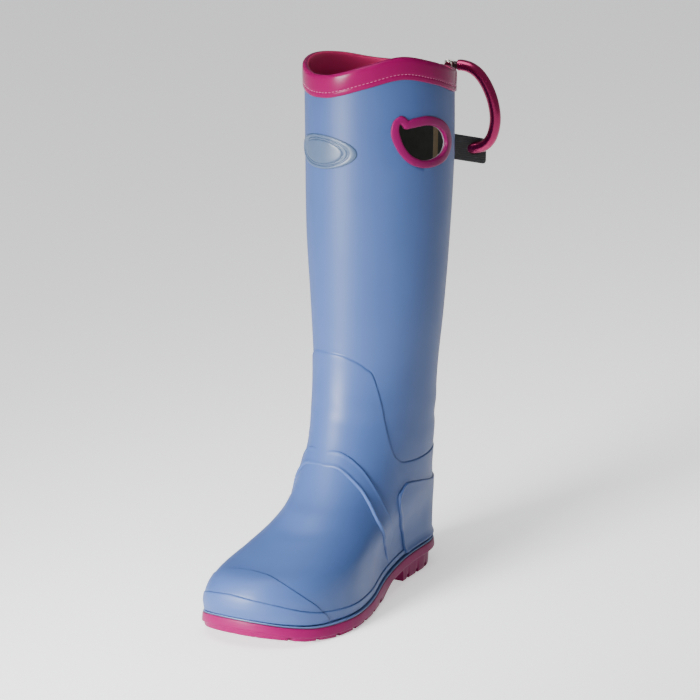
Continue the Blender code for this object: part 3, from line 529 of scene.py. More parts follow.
# Pale colour for the lowest rows of the hand-hole trim's tunnel, a thin light line along the hole's inner
# edge
PALE_TUNNEL = finish(
    "pale_tunnel_rubber", (0.13, 0.10, 0.12), (0.18, 0.14, 0.17), 0.004, 0.6, 0.1, 0.0004, 0.00005)
THREAD = finish(
    "binding_thread", (0.30, 0.03, 0.12), (0.35, 0.05, 0.15), 0.003, 0.6,
    0.1, 0.0003, 0.00004, sheen=0.2)
LINING = weave(finish(
    "lining_cloth", (0.014, 0.016, 0.013), (0.022, 0.024, 0.020), 0.006, 0.9,
    0.05, 0.0005, 0.00008, sheen=0.1), 0.0012, 0.0012, 0.00012)
TAPE = weave(finish(
    "seam_tape_cloth", (0.17, 0.125, 0.070), (0.21, 0.16, 0.09), 0.004, 0.85,
    0.05, 0.0005, 0.00006, sheen=0.1), 0.0010, 0.0014, 0.00012)
FOOTBED = weave(finish(
    "footbed_cloth", (0.030, 0.030, 0.034), (0.045, 0.045, 0.050), 0.010, 0.9,
    0.05, 0.0006, 0.0001, sheen=0.2), 0.0014, 0.0014, 0.00015)
WEBBING = weave(finish(
    "black_webbing_cloth", (0.004, 0.004, 0.005), (0.008, 0.008, 0.009), 0.004, 0.75,
    0.08, 0.0004, 0.00005, sheen=0.1), 0.0016, 0.0010, 0.0002)
BLACK_THREAD = finish(
    "webbing_thread", (0.012, 0.012, 0.013), (0.022, 0.022, 0.024), 0.002, 0.6, 0.1, 0.0003, 0.00004)
PINK_METAL = finish(
    "pink_anodised_metal", (0.270, 0.0, 0.066), (0.300, 0.002, 0.076), 0.012, 0.20,
    0.05, 0.0008, 0.00001, metallic=0.8, coat=0.4)
# Painted shade: darker copy of the clip's pink metal for the hinge pin's heads, which sit in shadow
PIN_PAINTED_SHADE_METAL = finish(
    "pin_painted_shade_metal", (0.110, 0.0, 0.020), (0.140, 0.0, 0.028), 0.004, 0.35,
    0.08, 0.0006, 0.00004, metallic=0.7)
SILVER_METAL = finish(
    "silver_gate_metal", (0.48, 0.47, 0.42), (0.56, 0.55, 0.50), 0.006, 0.28,
    0.08, 0.0005, 0.00002, metallic=1.0)
# Painted shade: near-black copy of the clip's metal for the body's tongue, which sits in shadow in the gate's
# fork
HINGE_PAINTED_SHADE_METAL = finish(
    "hinge_painted_shade_metal", (0.030, 0.016, 0.018), (0.050, 0.030, 0.032), 0.004, 0.45,
    0.1, 0.0006, 0.0001, metallic=0.6)


# Mesh helpers

def grid_faces(rows, columns, ring=True, first=0):
    """Quads of a grid whose rows run round (ring) or end at both sides."""
    i, j = np.meshgrid(np.arange(rows - 1), np.arange(columns if ring else columns - 1), indexing="ij")
    n = (j + 1) % columns
    quads = np.stack([i * columns + j, i * columns + n, (i + 1) * columns + n, (i + 1) * columns + j], -1)
    return quads.reshape(-1, 4) + first


def new_mesh(name, points, faces, outward=True):
    mesh = bpy.data.meshes.new(name)
    mesh.from_pydata(np.asarray(points).reshape(-1, 3).tolist(), [], [list(map(int, f)) for f in faces])
    if outward:
        shape = bmesh.new()
        shape.from_mesh(mesh)
        bmesh.ops.recalc_face_normals(shape, faces=shape.faces)
        shape.to_mesh(mesh)
        shape.free()
    mesh.shade_smooth()
    return mesh


def linked(name, data, place=None):
    made = bpy.data.objects.new(name, data)
    bpy.context.scene.collection.objects.link(made)
    if place is not None:
        made.matrix_world = place
    return made


def piece(mesh, finishes, nodes=(), body="boot", place=None):
    """Object that rides on a body, and stands for the solids named in nodes."""
    for one in finishes:
        mesh.materials.append(one)
    made = linked(mesh.name, mesh, place)
    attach(made, body)
    if nodes:
        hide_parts(*nodes)
    return made


def second_finish(mesh, first, last=None):
    """Gives a run of a mesh's faces the second of its finishes."""
    chosen = np.zeros(len(mesh.polygons), np.int32)
    chosen[first:last] = 1
    mesh.polygons.foreach_set("material_index", chosen)


def closed_rings(name, loops):
    """Closed skin from a closed series of closed loops."""
    loops = np.asarray(loops)
    count = loops.shape[1]
    faces = grid_faces(len(loops) + 1, count) % (len(loops) * count)
    return new_mesh(name, loops, faces)


def capped_rings(name, loops):
    """Closed skin from a series of loops, with strips from side to side over both ends."""
    loops = np.asarray(loops)
    rows, count = loops.shape[:2]
    faces = list(grid_faces(rows, count))
    for base in (0, (rows - 1) * count):
        for j in range(count // 2):
            strip = [base + j, base + j + 1, base + (count - j - 1) % count, base + (count - j) % count]
            faces.append(tuple(dict.fromkeys(strip)))
    return new_mesh(name, loops, faces)


def fanned_rings(name, loops, first, last):
    """Closed skin from a series of loops, closed at both ends by fans about a point."""
    loops = np.asarray(loops)
    rows, count = loops.shape[:2]
    faces = list(grid_faces(rows, count))
    size = rows * count
    around = [(k, (k + 1) % count) for k in range(count)]
    faces += [(size, n, k) for k, n in around]
    faces += [(size + 1, size - count + k, size - count + n) for k, n in around]
    return new_mesh(name, np.concatenate([loops.reshape(-1, 3), [first, last]]), faces)


def cut_away(target, solids):
    """Cuts each solid out of the target."""
    for solid in solids:
        cut = target.modifiers.new(solid.name, "BOOLEAN")
        cut.operation = "DIFFERENCE"
        cut.object = solid
        cut.solver = "EXACT"
    bpy.context.view_layer.update()
    shown = target.evaluated_get(bpy.context.evaluated_depsgraph_get())
    mesh = bpy.data.meshes.new_from_object(shown)
    target.modifiers.clear()
    target.data = mesh
    for solid in solids:
        bpy.data.objects.remove(solid)


def tool(mesh, place=None):
    """Solid that shapes another and isn't shown."""
    made = linked(mesh.name, mesh, place)
    made.hide_render = True
    return made


# Upper

def crease(theta, row):
    """Height of the soft troughs and ridges at a place on the upper."""
    total = np.zeros(np.broadcast(theta, row).shape)
    for turn, at_row, turn_reach, row_reach, slant, height in CREASES:
        away = (np.degrees(theta) - turn + 180) % 360 - 180
        total = total + height * MM * np.exp(
            -2 * (away / turn_reach) ** 2 - 2 * ((row - at_row - slant * away) / row_reach) ** 2)
    return total


def ground(theta, row):
    """Height of the skin that a raised panel lies on."""
    turn = turn_degrees(theta)
    foot = np.where(row < spline(SHIN_LINE, 1, turn), FOOT_RELIEF, 0.0)
    return np.where(row < spline(FOXING_LINE, 1, turn), FOXING_RELIEF, foot) + crease(theta, row)


def upper_skin():
    theta = angles(SKIN_COLUMNS)
    turn = turn_degrees(theta)
    foxing = spline(FOXING_LINE, 1, turn)
    shin = spline(SHIN_LINE, 1, turn)
    edge = STEP_ROWS[-1][0]
    rows, heights = [], []

    def add(row, height):
        rows.append(np.broadcast_to(row, theta.shape))
        heights.append(np.full(theta.shape, height))

    for row, sunk in FOOT_ROUND:
        add(row, FOXING_RELIEF - sunk)
    first = FOOT_ROUND[-1][0]
    foxing_spare, foot_spare = 0.16, 0.02
    for share in np.linspace(0, 1, FOXING_ROWS)[1:-1]:
        add(first + (foxing - edge - foxing_spare) * share, FOXING_RELIEF)
    for away, standing in STEP_ROWS:
        add(foxing + away, FOOT_RELIEF + (FOXING_RELIEF - FOOT_RELIEF) * standing)
    for share in np.linspace(0, 1, FOOT_ROWS)[1:-1]:
        add(foxing + edge + (shin - foxing - 2 * edge - foot_spare) * share, FOOT_RELIEF)
    for away, standing in STEP_ROWS:
        add(shin + away, FOOT_RELIEF * standing)
    for share in np.linspace(0, 1, SHAFT_ROWS)[1:]:
        add(shin + edge + (TOP_ROW - shin - edge) * share, 0.0)
    rows, heights = np.array(rows), np.array(heights)
    outside = upper_point(theta, rows, heights + crease(theta, rows))
    seat(outside[0], WELT_HEIGHT + 2 * GAP)

    inner_rows = np.linspace(TOP_ROW, 0, LINING_ROWS)[:, None]
    inside = upper_point(theta, inner_rows, -WALL + crease(theta, inner_rows))
    seat(inside[-1], WELT_HEIGHT + 2 * GAP)

    mesh = closed_rings("upper_skin", np.concatenate([outside, inside]))
    second_finish(mesh, len(outside) * SKIN_COLUMNS, -SKIN_COLUMNS)
    made = piece(mesh, [BLUE_RUBBER, LINING], ["upper"])
    cut_away(made, [hole_cutter(sign) for sign in (1, -1)])


def column_stations(length):
    """Places along a panel's column, close together near both of its ends."""
    edge = np.array([d for d, _ in PANEL_EDGE]) * MM
    edge = edge * min(1.0, EDGE_MOST * length / edge[-1])
    middle = np.linspace(edge[-1], length - edge[-1], PANEL_ROWS)[1:-1]
    return np.concatenate([edge, middle, (length - edge)[::-1]])


def panel_grid(turns, low, high, height, whole=True, bead=0.0, rear=0.0, fade=None):
    """Grid of a raised panel between two lines of the upper, with a bead along its lower and upper edges.

    One that isn't whole carries another on, and has an edge only along its upper line.
    """
    theta = np.radians(turns)
    steps = 41
    share = np.linspace(0, 1, steps)[:, None]
    fine_rows = low + (high - low) * share
    fine = upper_point(theta, fine_rows, 0.0)
    along = run_along(fine)
    from_side = run_along(fine[steps // 2])
    from_side = np.minimum(from_side, from_side[-1] - from_side)
    columns = []
    for k in range(len(turns)):
        length = along[-1, k]
        places = column_stations(max(length, 1e-5))
        row = np.interp(places, along[:, k], fine_rows[:, k])
        inside = length - places
        if whole:
            inside = np.minimum(np.minimum(inside, places), from_side[k])
        lift = height * linear(PANEL_EDGE, 1, inside / MM)
        for bead_height, away in ((bead, places), (rear, length - places)):
            if whole:
                away = np.minimum(away, from_side[k])
            lift = lift + bead_height * np.exp(-((away / MM - BEAD_INSET) / BEAD_REACH) ** 2)
        here = np.full_like(row, theta[k])
        shown = 1.0 if fade is None else fade[k]
        columns.append(upper_point(here, row, ground(here, row) + lift * shown - (1 - shown) * PANEL_SUNK))
    return np.array(columns).transpose(1, 0, 2)


def panel(name, grids):
    points, faces = [], []
    for grid in grids:
        faces += list(grid_faces(*grid.shape[:2], ring=False, first=len(points)))
        points += list(grid.reshape(-1, 3))
    piece(new_mesh(name, points, faces, outward=False), [BLUE_RUBBER])


def panels():
    """Toe cap, instep band and heel counter."""
    cap_turn = TOE_CAP_LINE[-1][0]
    turns = np.linspace(-cap_turn, cap_turn, CAP_COLUMNS)
    side = np.abs(turns)
    line = np.maximum(spline(TOE_CAP_LINE, 1, side), CAP_LEAST)
    foxing = spline(FOXING_LINE, 1, side)
    below = panel_grid(turns, np.full_like(turns, PANEL_FOOT), np.minimum(foxing, line), TOE_CAP_STEP)
    meets = side < CAP_MEETS
    above = panel_grid(turns[meets], foxing[meets], line[meets], TOE_CAP_STEP, whole=False)
    panel("toe_cap", [below, above])

    last = INSTEP_BAND[-1][0]
    turns = np.linspace(-last, last, BAND_COLUMNS)
    side = np.abs(turns)
    band = [spline(INSTEP_BAND, k, side) for k in (1, 2)]
    start, over, least = BAND_FRONT
    fade = least + (1 - least) * ease(np.clip((side - start) / over, 0, 1))
    fade = fade * np.clip((last - side) / BAND_FADE, 0, 1) ** BAND_FADE_POWER
    grid = panel_grid(turns, *band, BAND_HEIGHT, bead=BEAD_HEIGHT, rear=BAND_REAR_BEAD, fade=fade)
    panel("instep_band", [grid])

    first = HEEL_COUNTER[0][0]
    last = 360 - first
    step = np.array((0.0, 0.1, 0.3, 0.7, 1.2))
    even = np.linspace(first + 2, last - 2, COUNTER_COLUMNS)
    turns = np.concatenate([first + step, even, (last - step)[::-1]])
    mirrored = np.minimum(turns, 360 - turns)
    low = np.maximum(spline(HEEL_COUNTER, 1, mirrored), HEEL_COUNTER[-1][1])
    high = spline(HEEL_COUNTER, 2, mirrored)
    blunt = np.sqrt(1 - np.clip(1 - (mirrored - first) / COUNTER_ROUND, 0, 1) ** 2)
    middle = (low + high) / 2
    counter = [middle + (line - middle) * blunt for line in (low, high)]
    height = COUNTER_RELIEF - FOOT_RELIEF
    panel("heel_counter", [panel_grid(turns, *counter, height, bead=BEAD_HEIGHT, rear=COUNTER_REAR_BEAD)])


def seam_tape():
    """Tape over the lining's seam, up the back of the shaft."""
    rows = np.linspace(*TAPE_ENDS, TAPE_ROWS)[:, None]
    lift = np.array((0.0, 0.0005, 0.0006, 0.0006, 0.0006, 0.0005, 0.0))
    half = TAPE_HALF_WIDTH / SHAFT_RADIUS
    theta = math.pi + np.linspace(-half, half, len(lift))
    clear = 0.0001
    grid = upper_point(theta, rows, -WALL - clear - lift + crease(theta, rows))
    mesh = new_mesh("seam_tape", grid, grid_faces(*grid.shape[:2], ring=False)[:, ::-1], outward=False)
    piece(mesh, [TAPE])


# Collar and hand-holes

def hole_outline(sign, share):
    """Angle and row along a hand-hole's outline, from the opening (0) to the trim's edge (1)."""
    table = np.array(HAND_HOLE)
    places = table[:, :2] * (1 - share) + table[:, 2:] * share
    curve = smooth_closed(places, TRIM_STEPS)
    near = range(-TRIM_STEPS, TRIM_STEPS + 1)
    evened = sum(np.roll(curve, k, axis=0) for k in near) / len(near)
    rear = np.clip((curve[:, :1] - HOLE_ROUND_FROM) / HOLE_ROUND_OVER, 0, 1)
    curve = curve + (evened - curve) * rear
    theta = sign * np.radians(curve[:, 0])
    return theta, row_at_height(theta, curve[:, 1] * MM)


def hole_cutter(sign):
    reach = 0.006
    theta, row = hole_outline(sign, HOLE_CUT)
    loops = [upper_point(theta, row, reach), upper_point(theta, row, -reach)]
    ends = [loop.mean(axis=0) for loop in loops]
    return tool(fanned_rings("hole_cutter", loops, *ends))


def hole_trim(side, sign):
    loops = []
    for share, height in TRIM_SECTION:
        theta, row = hole_outline(sign, share)
        loops.append(upper_point(theta, row, height * MM + crease(theta, row)))
    mesh = closed_rings(side + "_trim", loops)
    # The tunnel's lowest rows, up to 1.6 mm under the rubber, take the pale finish
    tunnel = [height for _, height in TRIM_SECTION].index(PALE_TUNNEL_TOP)
    second_finish(mesh, 0, tunnel * len(loops[0]))
    piece(mesh, [PINK_TRIM, PALE_TUNNEL], [side + "_hole_trim"])


def rim_point(theta, drop, offset):
    """Point a distance below the collar's rim, or above it where drop is negative."""
    nudge = 0.3
    top = upper_base(theta, np.full_like(theta, TOP_ROW))
    below = upper_base(theta, np.full_like(theta, TOP_ROW - nudge))
    row = TOP_ROW - np.maximum(drop, 0.0) * nudge / (top - below)[..., 2]
    point = upper_point(theta, row, offset)
    point[..., 2] -= np.minimum(drop, 0.0)
    return point


def collar_binding():
    theta = angles(SKIN_COLUMNS)
    loops = [rim_point(theta, drop * MM, height * MM) for drop, height in BINDING_SECTION]
    mesh = closed_rings("binding_band", loops)
    # Past the rim, the binding's inner rows take the brighter pink of painted light
    rim = min(range(len(BINDING_SECTION)), key=lambda k: BINDING_SECTION[k])
    second_finish(mesh, (rim + 1) * SKIN_COLUMNS)
    piece(mesh, [PINK_BAND, PINK_BAND_PAINTED_LIGHT], ["collar_binding"])

    steps, seam_height = 720, 0.0013
    girth = rim_point(angles(steps), STITCH_DROP * MM, seam_height)
    run = run_along(np.vstack([girth, girth[:1]]))
    count = int(run[-1] / (STITCH_PITCH * MM))
    starts = np.arange(count) * run[-1] / count
    full_turn = np.linspace(0, 2 * math.pi, steps + 1)
    lift = np.array((0.0006, 0.0011, 0.00135, 0.0011, 0.0006))
    paths = []
    for start in starts:
        places = start + np.array(STITCH_STEPS) * STITCH_LENGTH * MM
        turn = np.interp(places, run, full_turn)
        normal = upper_normal(turn, np.full_like(turn, STITCH_ROW))
        paths.append(rim_point(turn, STITCH_DROP * MM, 0.0) + normal * lift[:, None])
    stitches("binding_stitches", paths, STITCH_RADIUS * MM, THREAD)


def stitches(name, paths, radius, thread, place=None):
    """Short round threads along paths of five points each."""
    sides, steps = 6, len(STITCH_STEPS)
    girth = radius * np.array((0.5, 0.9, 1.0, 0.9, 0.5))
    points, faces = [], []
    for path in paths:
        run = unit(np.gradient(path, axis=0))
        side = unit(np.cross(run, (0.0, 0.0, 1.0)))
        up = np.cross(side, run)
        first = len(points)
        for k in range(steps):
            for turn in angles(sides):
                points.append(path[k] + girth[k] * (math.cos(turn) * side[k] + math.sin(turn) * up[k]))
        faces += list(grid_faces(steps, sides, first=first))
        last = len(points)
        faces += [range(first, first + sides), range(last - sides, last)]
    piece(new_mesh(name, points, faces), [thread], place=place)


def badge():
    around = angles(BADGE_POINTS)
    middle_row = row_at_height(np.zeros(1), np.array([BADGE_Z]))
    half_front = spline(UPPER, HALF_WIDTH_COLUMN, middle_row[0]) * MM
    loops = []
    for share, height in BADGE_SECTION:
        theta = np.arcsin(share * BADGE_WIDTH / 2 * np.cos(around) / half_front)
        row = row_at_height(theta, BADGE_Z + share * BADGE_HEIGHT / 2 * np.sin(around))
        loops.append(upper_point(theta, row, height * MM))
    ends = [upper_point(np.zeros(1), middle_row, BADGE_SECTION[k][1] * MM)[0] for k in (0, -1)]
    mesh = fanned_rings("badge_plate", loops, *ends)
    piece(mesh, [BADGE_RUBBER], ["badge"])


# Sole

def sole_loop(theta, inset, z):
    edge = sole_edge(theta, inset)
    return np.column_stack([edge[:, 0], HEEL_REST - edge[:, 1], z])


def groove_places():
    middles = np.concatenate([np.linspace(*area) for area in GROOVES])
    return [(middle - GROOVE_WIDTH / 2, middle + GROOVE_WIDTH / 2) for middle in middles]


def sole_stations():
    """Places along the sole, closer together round its ends and at the walls of the grooves."""
    stations = set(np.linspace(0, SOLE_LENGTH, SOLE_STATIONS)[1:-1])
    stations |= {row[0] * MM for row in SOLE_TREAD[1:-1]}
    pitch, reach, margin = 1.5, 30, 0.0007
    for first in (0, 180 - reach):
        turn = np.radians(np.arange(first + pitch, first + reach, pitch))
        stations |= set(SOLE_LENGTH * (1 + np.cos(turn)) / 2)
    grooves = groove_places()
    clear = [s for s in stations if all(s < a - margin or s > b + margin for a, b in grooves)]
    for start, end in grooves:
        clear += [start, start + GROOVE_WALL, (start + end) / 2, end - GROOVE_WALL, end]
    return sorted(clear, reverse=True)


def outsole():
    along = np.array(sole_stations())
    half_turn = np.arccos(np.clip(2 * along / SOLE_LENGTH - 1, -1, 1))
    theta = np.concatenate([[0.0], half_turn, [math.pi], 2 * math.pi - half_turn[::-1]])
    place = (1 + np.cos(theta)) / 2 * SOLE_LENGTH
    top = sole_top(place)
    tread = linear(SOLE_TREAD, 1, place / MM) * MM
    inset = linear(SOLE_TREAD, 2, place / MM) * MM
    strip = np.maximum(top - STRIP_HEIGHT, tread + STRIP_LEAST)
    small = 1e-6
    for start, end in groove_places():
        inside = (place > start + GROOVE_WALL - small) & (place < end - GROOVE_WALL + small)
        tread = np.where(inside, np.minimum(tread + GROOVE_DEPTH, strip - STRIP_LEAST), tread)
    # Inset, share of the tread's inset added to it, share of the height
    edge_rows = (
        (2.4, 0.0, 1.0), (0.6, 0.0, 1.0), (0.15, 0.0, 0.97), (0.0, 0.0, 0.90), (-0.3, 0.0, 0.65),
        (-0.5, 0.0, 0.35), (-0.6, 0.0, 0.14), (-0.45, 0.0, 0.06), (-0.1, 0.0, 0.01), (0.0, 0.5, 0.0),
    )
    lug_rows = ((0.0, 1.0, 0.94), (0.15, 1.0, 0.6), (0.35, 1.0, 0.25), (0.6, 1.0, 0.06), (1.2, 1.0, 0.0))
    loops = []
    for rows, low, high in ((edge_rows, strip, top), (lug_rows, tread, strip)):
        for extra, share, rise in rows:
            loops.append(sole_loop(theta, extra * MM + share * inset, low + (high - low) * rise))
    mesh = capped_rings("outsole_skin", loops)
    mesh.set_sharp_from_angle(angle=SHARP_ANGLE)
    piece(mesh, [PINK_SOLE], ["outsole"])


def welt():
    theta = angles(SKIN_COLUMNS)
    # Inset from the sole's edge, rise over the sole's top
    profile = ((0.5, 0.3), (0.35, 0.6), (0.35, 1.1), (0.55, 1.55), (1.0, 1.8), (5.0, 1.8), (5.0, 0.3))
    loops = []
    for inset, rise in profile:
        loop = sole_loop(theta, inset * MM, np.zeros_like(theta))
        seat(loop, rise * MM)
        loops.append(loop)
    mesh = closed_rings("welt_bead", loops)
    # Lower rows: painted shadow; the rows above them: painted highlight
    second_finish(mesh, 0, WELT_SHADOW_ROWS * SKIN_COLUMNS)
    piece(mesh, [WELT_PAINTED_HIGHLIGHT, WELT_PAINTED_SHADOW], ["welt"])


def insole():
    theta = angles(SKIN_COLUMNS)
    # Distance in from the wall, rise over the sole's top
    profile = ((0.0, 0.3), (0.0, 3.3), (0.4, 3.8), (1.2, 4.0), (6.0, 3.8), (12.0, 3.4))
    loops = []
    for inward, rise in profile:
        ring = upper_point(theta, np.zeros(SKIN_COLUMNS), -WALL - INSOLE_CLEARANCE - inward * MM)
        seat(ring, rise * MM)
        loops.append(ring)
    piece(capped_rings("footbed_pad", loops), [FOOTBED], ["insole"])


# Clip and tab

def upright_plane(turn, origin):
    """Placement of an upright plane: its X runs out from the shaft's back, its Y up, its Z across."""
    out = (math.sin(turn), math.cos(turn), 0.0)
    across = (math.cos(turn), -math.sin(turn), 0.0)
    axes = Matrix((out, (0.0, 0.0, 1.0), across)).transposed().to_4x4()
    return Matrix.Translation((origin[0], origin[1], 0.0)) @ axes


def back_of_shaft():
    row = row_at_height(np.array([math.pi]), np.array([TAB_TOP - TAB_HEIGHT / 2]))
    return upper_base(np.array([math.pi]), row)[0]


def rod(name, path, radius, bevel):
    """Rod along a plane path, with its ends rounded over."""
    away = run_along(path)
    steps, depth = bevel * np.array((0.0, 0.15, 0.4, 0.7)), 0.9 * bevel
    inner = np.linspace(bevel, away[-1] - bevel, len(path))
    places = np.concatenate([steps, inner, (away[-1] - steps)[::-1]])
    from_end = np.minimum(np.minimum(places, away[-1] - places), bevel)
    radii = radius - depth * (1 - np.sqrt(1 - (1 - from_end / bevel) ** 2))
    path = np.column_stack([np.interp(places, away, path[:, k]) for k in (0, 1)])
    run = unit(np.gradient(path, axis=0))
    turn = angles(ROD_SIDES)
    aside = np.cos(turn) * radii[:, None]
    across = np.sin(turn) * radii[:, None]
    loops = np.stack([path[:, :1] - run[:, 1:] * aside, path[:, 1:] + run[:, :1] * aside, across], -1)
    return fanned_rings(name, loops, (*path[0], 0.0), (*path[-1], 0.0))


def slab(name, low, high, place):
    """Box between two corners, in a plane's own axes."""
    points = [(x, y, z) for x in (low[0], high[0]) for y in (low[1], high[1]) for z in (low[2], high[2])]
    faces = [(0, 1, 3, 2), (4, 5, 7, 6), (0, 1, 5, 4), (2, 3, 7, 6), (0, 2, 6, 4), (1, 3, 7, 5)]
    return tool(new_mesh(name, points, faces), place)


def carabiner():
    back = back_of_shaft()
    slot = back[0] + SLOT_OUT * math.sin(TAB_TURN), back[1] + SLOT_OUT * math.cos(TAB_TURN)
    place = upright_plane(CLIP_TURN, slot)
    hinge = place @ Matrix.Translation((*HINGE, 0.0))
    path = np.array(CLIP_PATH) * MM
    body = rod("clip_rod", smooth_open(path, CLIP_STEPS), CLIP_ROD, CLIP_BEVEL)
    piece(body, [PINK_METAL], ["carabiner_body"], place=place)

    reach, root, middle, half = 0.0030, 0.0082, 0.0020, TONGUE / 2
    turn = np.radians(np.linspace(90, 270, 17))
    outline = [(reach * math.cos(t), reach * math.sin(t)) for t in turn]
    outline += [(root, -reach), (root, reach)]
    loops = [[(x, y, z) for x, y in outline] for z in (-half, half)]
    tongue = fanned_rings("clip_tongue", loops, (middle, 0.0, -half), (middle, 0.0, half))
    tongue.set_sharp_from_angle(angle=SHARP_ANGLE)
    # The tongue takes the near-black finish of painted shade
    piece(tongue, [HINGE_PAINTED_SHADE_METAL], place=hinge)

    run = path[-1] - np.array(HINGE)
    length = np.linalg.norm(run)
    run /= length
    head = 0.0036
    line = run * np.linspace(-head, length - GATE_CLEARANCE, GATE_STEPS)[:, None]
    mesh = rod("clip_gate", line, GATE_ROD, GATE_BEVEL)
    gate = piece(mesh, [SILVER_METAL], ["carabiner_gate"], "gate", hinge)
    slot_half, slot_end = half + GAP, -0.0058
    side = 2 * GATE_ROD
    fork = slab("fork_slot", (-side, slot_end, -slot_half), (side, 2 * head, slot_half), hinge)
    cut_away(gate, [fork])
    gate.data.set_sharp_from_angle(angle=SHARP_ANGLE)

    turn = angles(ROD_SIDES)
    circle = PIN_RADIUS * np.column_stack([np.cos(turn), np.sin(turn), np.zeros(ROD_SIDES)])
    rings = [circle * share + (0.0, 0.0, z * MM) for share, z in PIN_SECTION]
    reach = PIN_SECTION[-1][1] * MM
    pin = fanned_rings("clip_pin", rings, (0, 0, -reach), (0, 0, reach))
    # The pin takes the darker pink of painted shade
    piece(pin, [PIN_PAINTED_SHADE_METAL], ["carabiner_pin"], place=hinge)


def pull_tab():
    """Webbing tab, two layers thick, with rounded edges round its outline and its slot."""
    place = upright_plane(TAB_TURN, back_of_shaft())
    # Height at which the clip's rod passes through the tab
    rod_z = np.interp(0.0, *zip(*sorted(CLIP_PATH[10:14]))) * MM
    far = TAB_LENGTH
    slant = 1 / math.tan(CLIP_TURN - TAB_TURN)
    slant_out = 1 / math.sin(CLIP_TURN - TAB_TURN)
    count = 144
    turn = angles(count)

    def droop(out):
        return TAB_DROOP * out / far

    def outer(at):
        """Distance from the slot's middle to the tab's outline, in a direction."""
        c, s = math.cos(at), math.sin(at)
        low, high = 0.0, 0.08
        for _ in range(HALVINGS):
            middle = (low + high) / 2
            out, up = SLOT_OUT + middle * c, rod_z + middle * s
            rise = up - (TAB_TOP - TAB_HEIGHT - droop(out))
            corner = TAB_CORNER
            dx = max(out - (far - corner), 0.0)
            dy = max(rise - (TAB_HEIGHT - corner), corner - rise, 0.0)
            within = 0.0 < out and (dx * dx + dy * dy < corner * corner if dx > 0 else 0 < rise < TAB_HEIGHT)
            low, high = (middle, high) if within else (low, middle)
        return low

    def inner(at):
        """The same for the slot, an ellipse that the clip's rod fills."""
        half_slot = CLIP_ROD - GAP
        return half_slot / math.hypot(math.cos(at) / slant_out, math.sin(at))

    edge = np.array([outer(t) for t in turn])
    hole = np.array([inner(t) for t in turn])
    half = TAB_THICK / 2
    # Share of the way from the slot to the outline, share of the thickness
    profile = (
        (0.0, 0.35), (0.03, 0.75), (0.08, 0.95), (0.2, 1.0), (0.5, 1.0), (0.8, 1.0), (0.92, 0.95),
        (0.97, 0.75), (1.0, 0.35),
    )
    loops = []
    for sign, rows in ((1, profile), (-1, profile[::-1])):
        for share, thick in rows:
            reach = hole + (edge - hole) * share
            shift = sign * half * thick * slant * (1 - share)
            out, up = SLOT_OUT + shift + reach * np.cos(turn), rod_z + reach * np.sin(turn)
            loops.append(np.column_stack([out, up, np.full(count, sign * half * thick)]))
    mesh = closed_rings("webbing_tab", loops)
    piece(mesh, [WEBBING], ["pull_tab"], place=place)

    # Two rows of stitches across the tab at the shaft
    paths = []
    length, pitch, margin, radius = 0.0021, 0.0030, 0.0025, 0.0003
    steps = np.array(STITCH_STEPS) * length
    lift = half + np.array((-0.0003, 0.0, 0.00015, 0.0, -0.0003))
    for out in (0.0050, 0.0085):
        for rise in np.arange(margin, TAB_HEIGHT - pitch, pitch):
            up = TAB_TOP - TAB_HEIGHT + rise + steps - droop(out)
            for sign in (1, -1):
                paths.append(np.column_stack([np.full_like(up, out), up, sign * lift]))
    stitches("tab_stitches", paths, radius, BLACK_THREAD, place)


# Stage

CAMERA_TURN = math.radians(30.0)
CAMERA_RISE = math.radians(14.6)
CAMERA_DISTANCE = 2.079
CAMERA_TARGET = Vector((0.0, -0.02835, 0.17955))
CAMERA_AIM = (-0.0211, 0.0087)  # the frame's middle, from the target: to the right and up
CAMERA_LENS = 134.0


def look_along(obj, back):
    obj.rotation_mode = "QUATERNION"
    obj.rotation_quaternion = back.to_track_quat("Z", "Y")


def direction(turn, rise):
    return Vector((math.sin(turn) * math.cos(rise), -math.cos(turn) * math.cos(rise), math.sin(rise)))


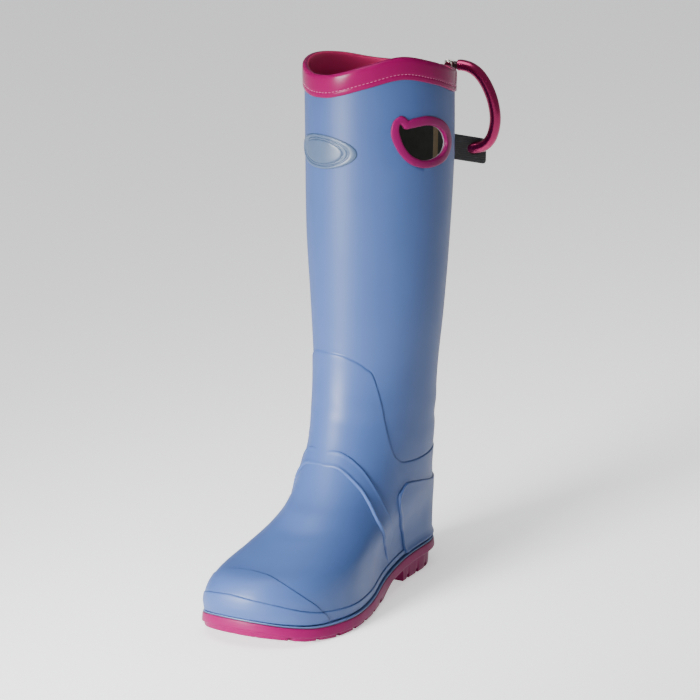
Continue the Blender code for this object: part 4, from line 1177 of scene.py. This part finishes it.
def camera():
    back = direction(CAMERA_TURN, CAMERA_RISE)
    right = Vector((math.cos(CAMERA_TURN), math.sin(CAMERA_TURN), 0.0))
    up = back.cross(right)
    made = linked("camera", bpy.data.cameras.new("camera"))
    made.data.lens = CAMERA_LENS
    made.data.sensor_width = 36.0
    made.location = CAMERA_TARGET + back * CAMERA_DISTANCE
    aim = CAMERA_TARGET + right * CAMERA_AIM[0] + up * CAMERA_AIM[1]
    look_along(made, (made.location - aim).normalized())
    bpy.context.scene.camera = made


def light(name, turn, rise, distance, width, height, power, aim=0.20, spread=180):
    """Soft panel light aimed at a height on the boot."""
    middle = Vector((0.0, -0.05, aim))
    back = direction(math.radians(turn), math.radians(rise))
    data = bpy.data.lights.new(name, "AREA")
    data.shape = "RECTANGLE"
    data.size = width
    data.size_y = height
    data.energy = power
    data.spread = math.radians(spread)
    made = linked(name, data)
    made.location = middle + back * distance
    look_along(made, back)


def stage():
    size = 60.0
    mesh = bpy.data.meshes.new("floor")
    corners = [(-size, -size, 0), (size, -size, 0), (size, size, 0), (-size, size, 0)]
    mesh.from_pydata(corners, [], [(0, 1, 2, 3)])
    pale = finish("pale_floor", (0.92, 0.92, 0.92), (0.94, 0.94, 0.94), 0.5, 0.8, 0.05,
                  0.01, 0.0001, specular=0.2)
    put(pale.node_tree.nodes["Principled BSDF"],
        {"Emission Color": (1.0, 1.0, 1.0, 1.0), "Emission Strength": 0.66})
    mesh.materials.append(pale)
    linked("floor", mesh)
    world = bpy.data.worlds.new("studio")
    world.use_nodes = True
    put(world.node_tree.nodes["Background"], {"Color": (0.97, 0.98, 1.0, 1.0), "Strength": 0.26})
    bpy.context.scene.world = world
    light("key", -9, 13, 1.7, 0.6, 0.5, 10, aim=0.03, spread=44)
    light("overhead", -4, 68, 2.2, 1.6, 1.6, 40)


camera()
stage()
upper_skin()
panels()
seam_tape()
hole_trim("lateral", 1)
hole_trim("medial", -1)
collar_binding()
badge()
outsole()
welt()
insole()
pull_tab()
carabiner()
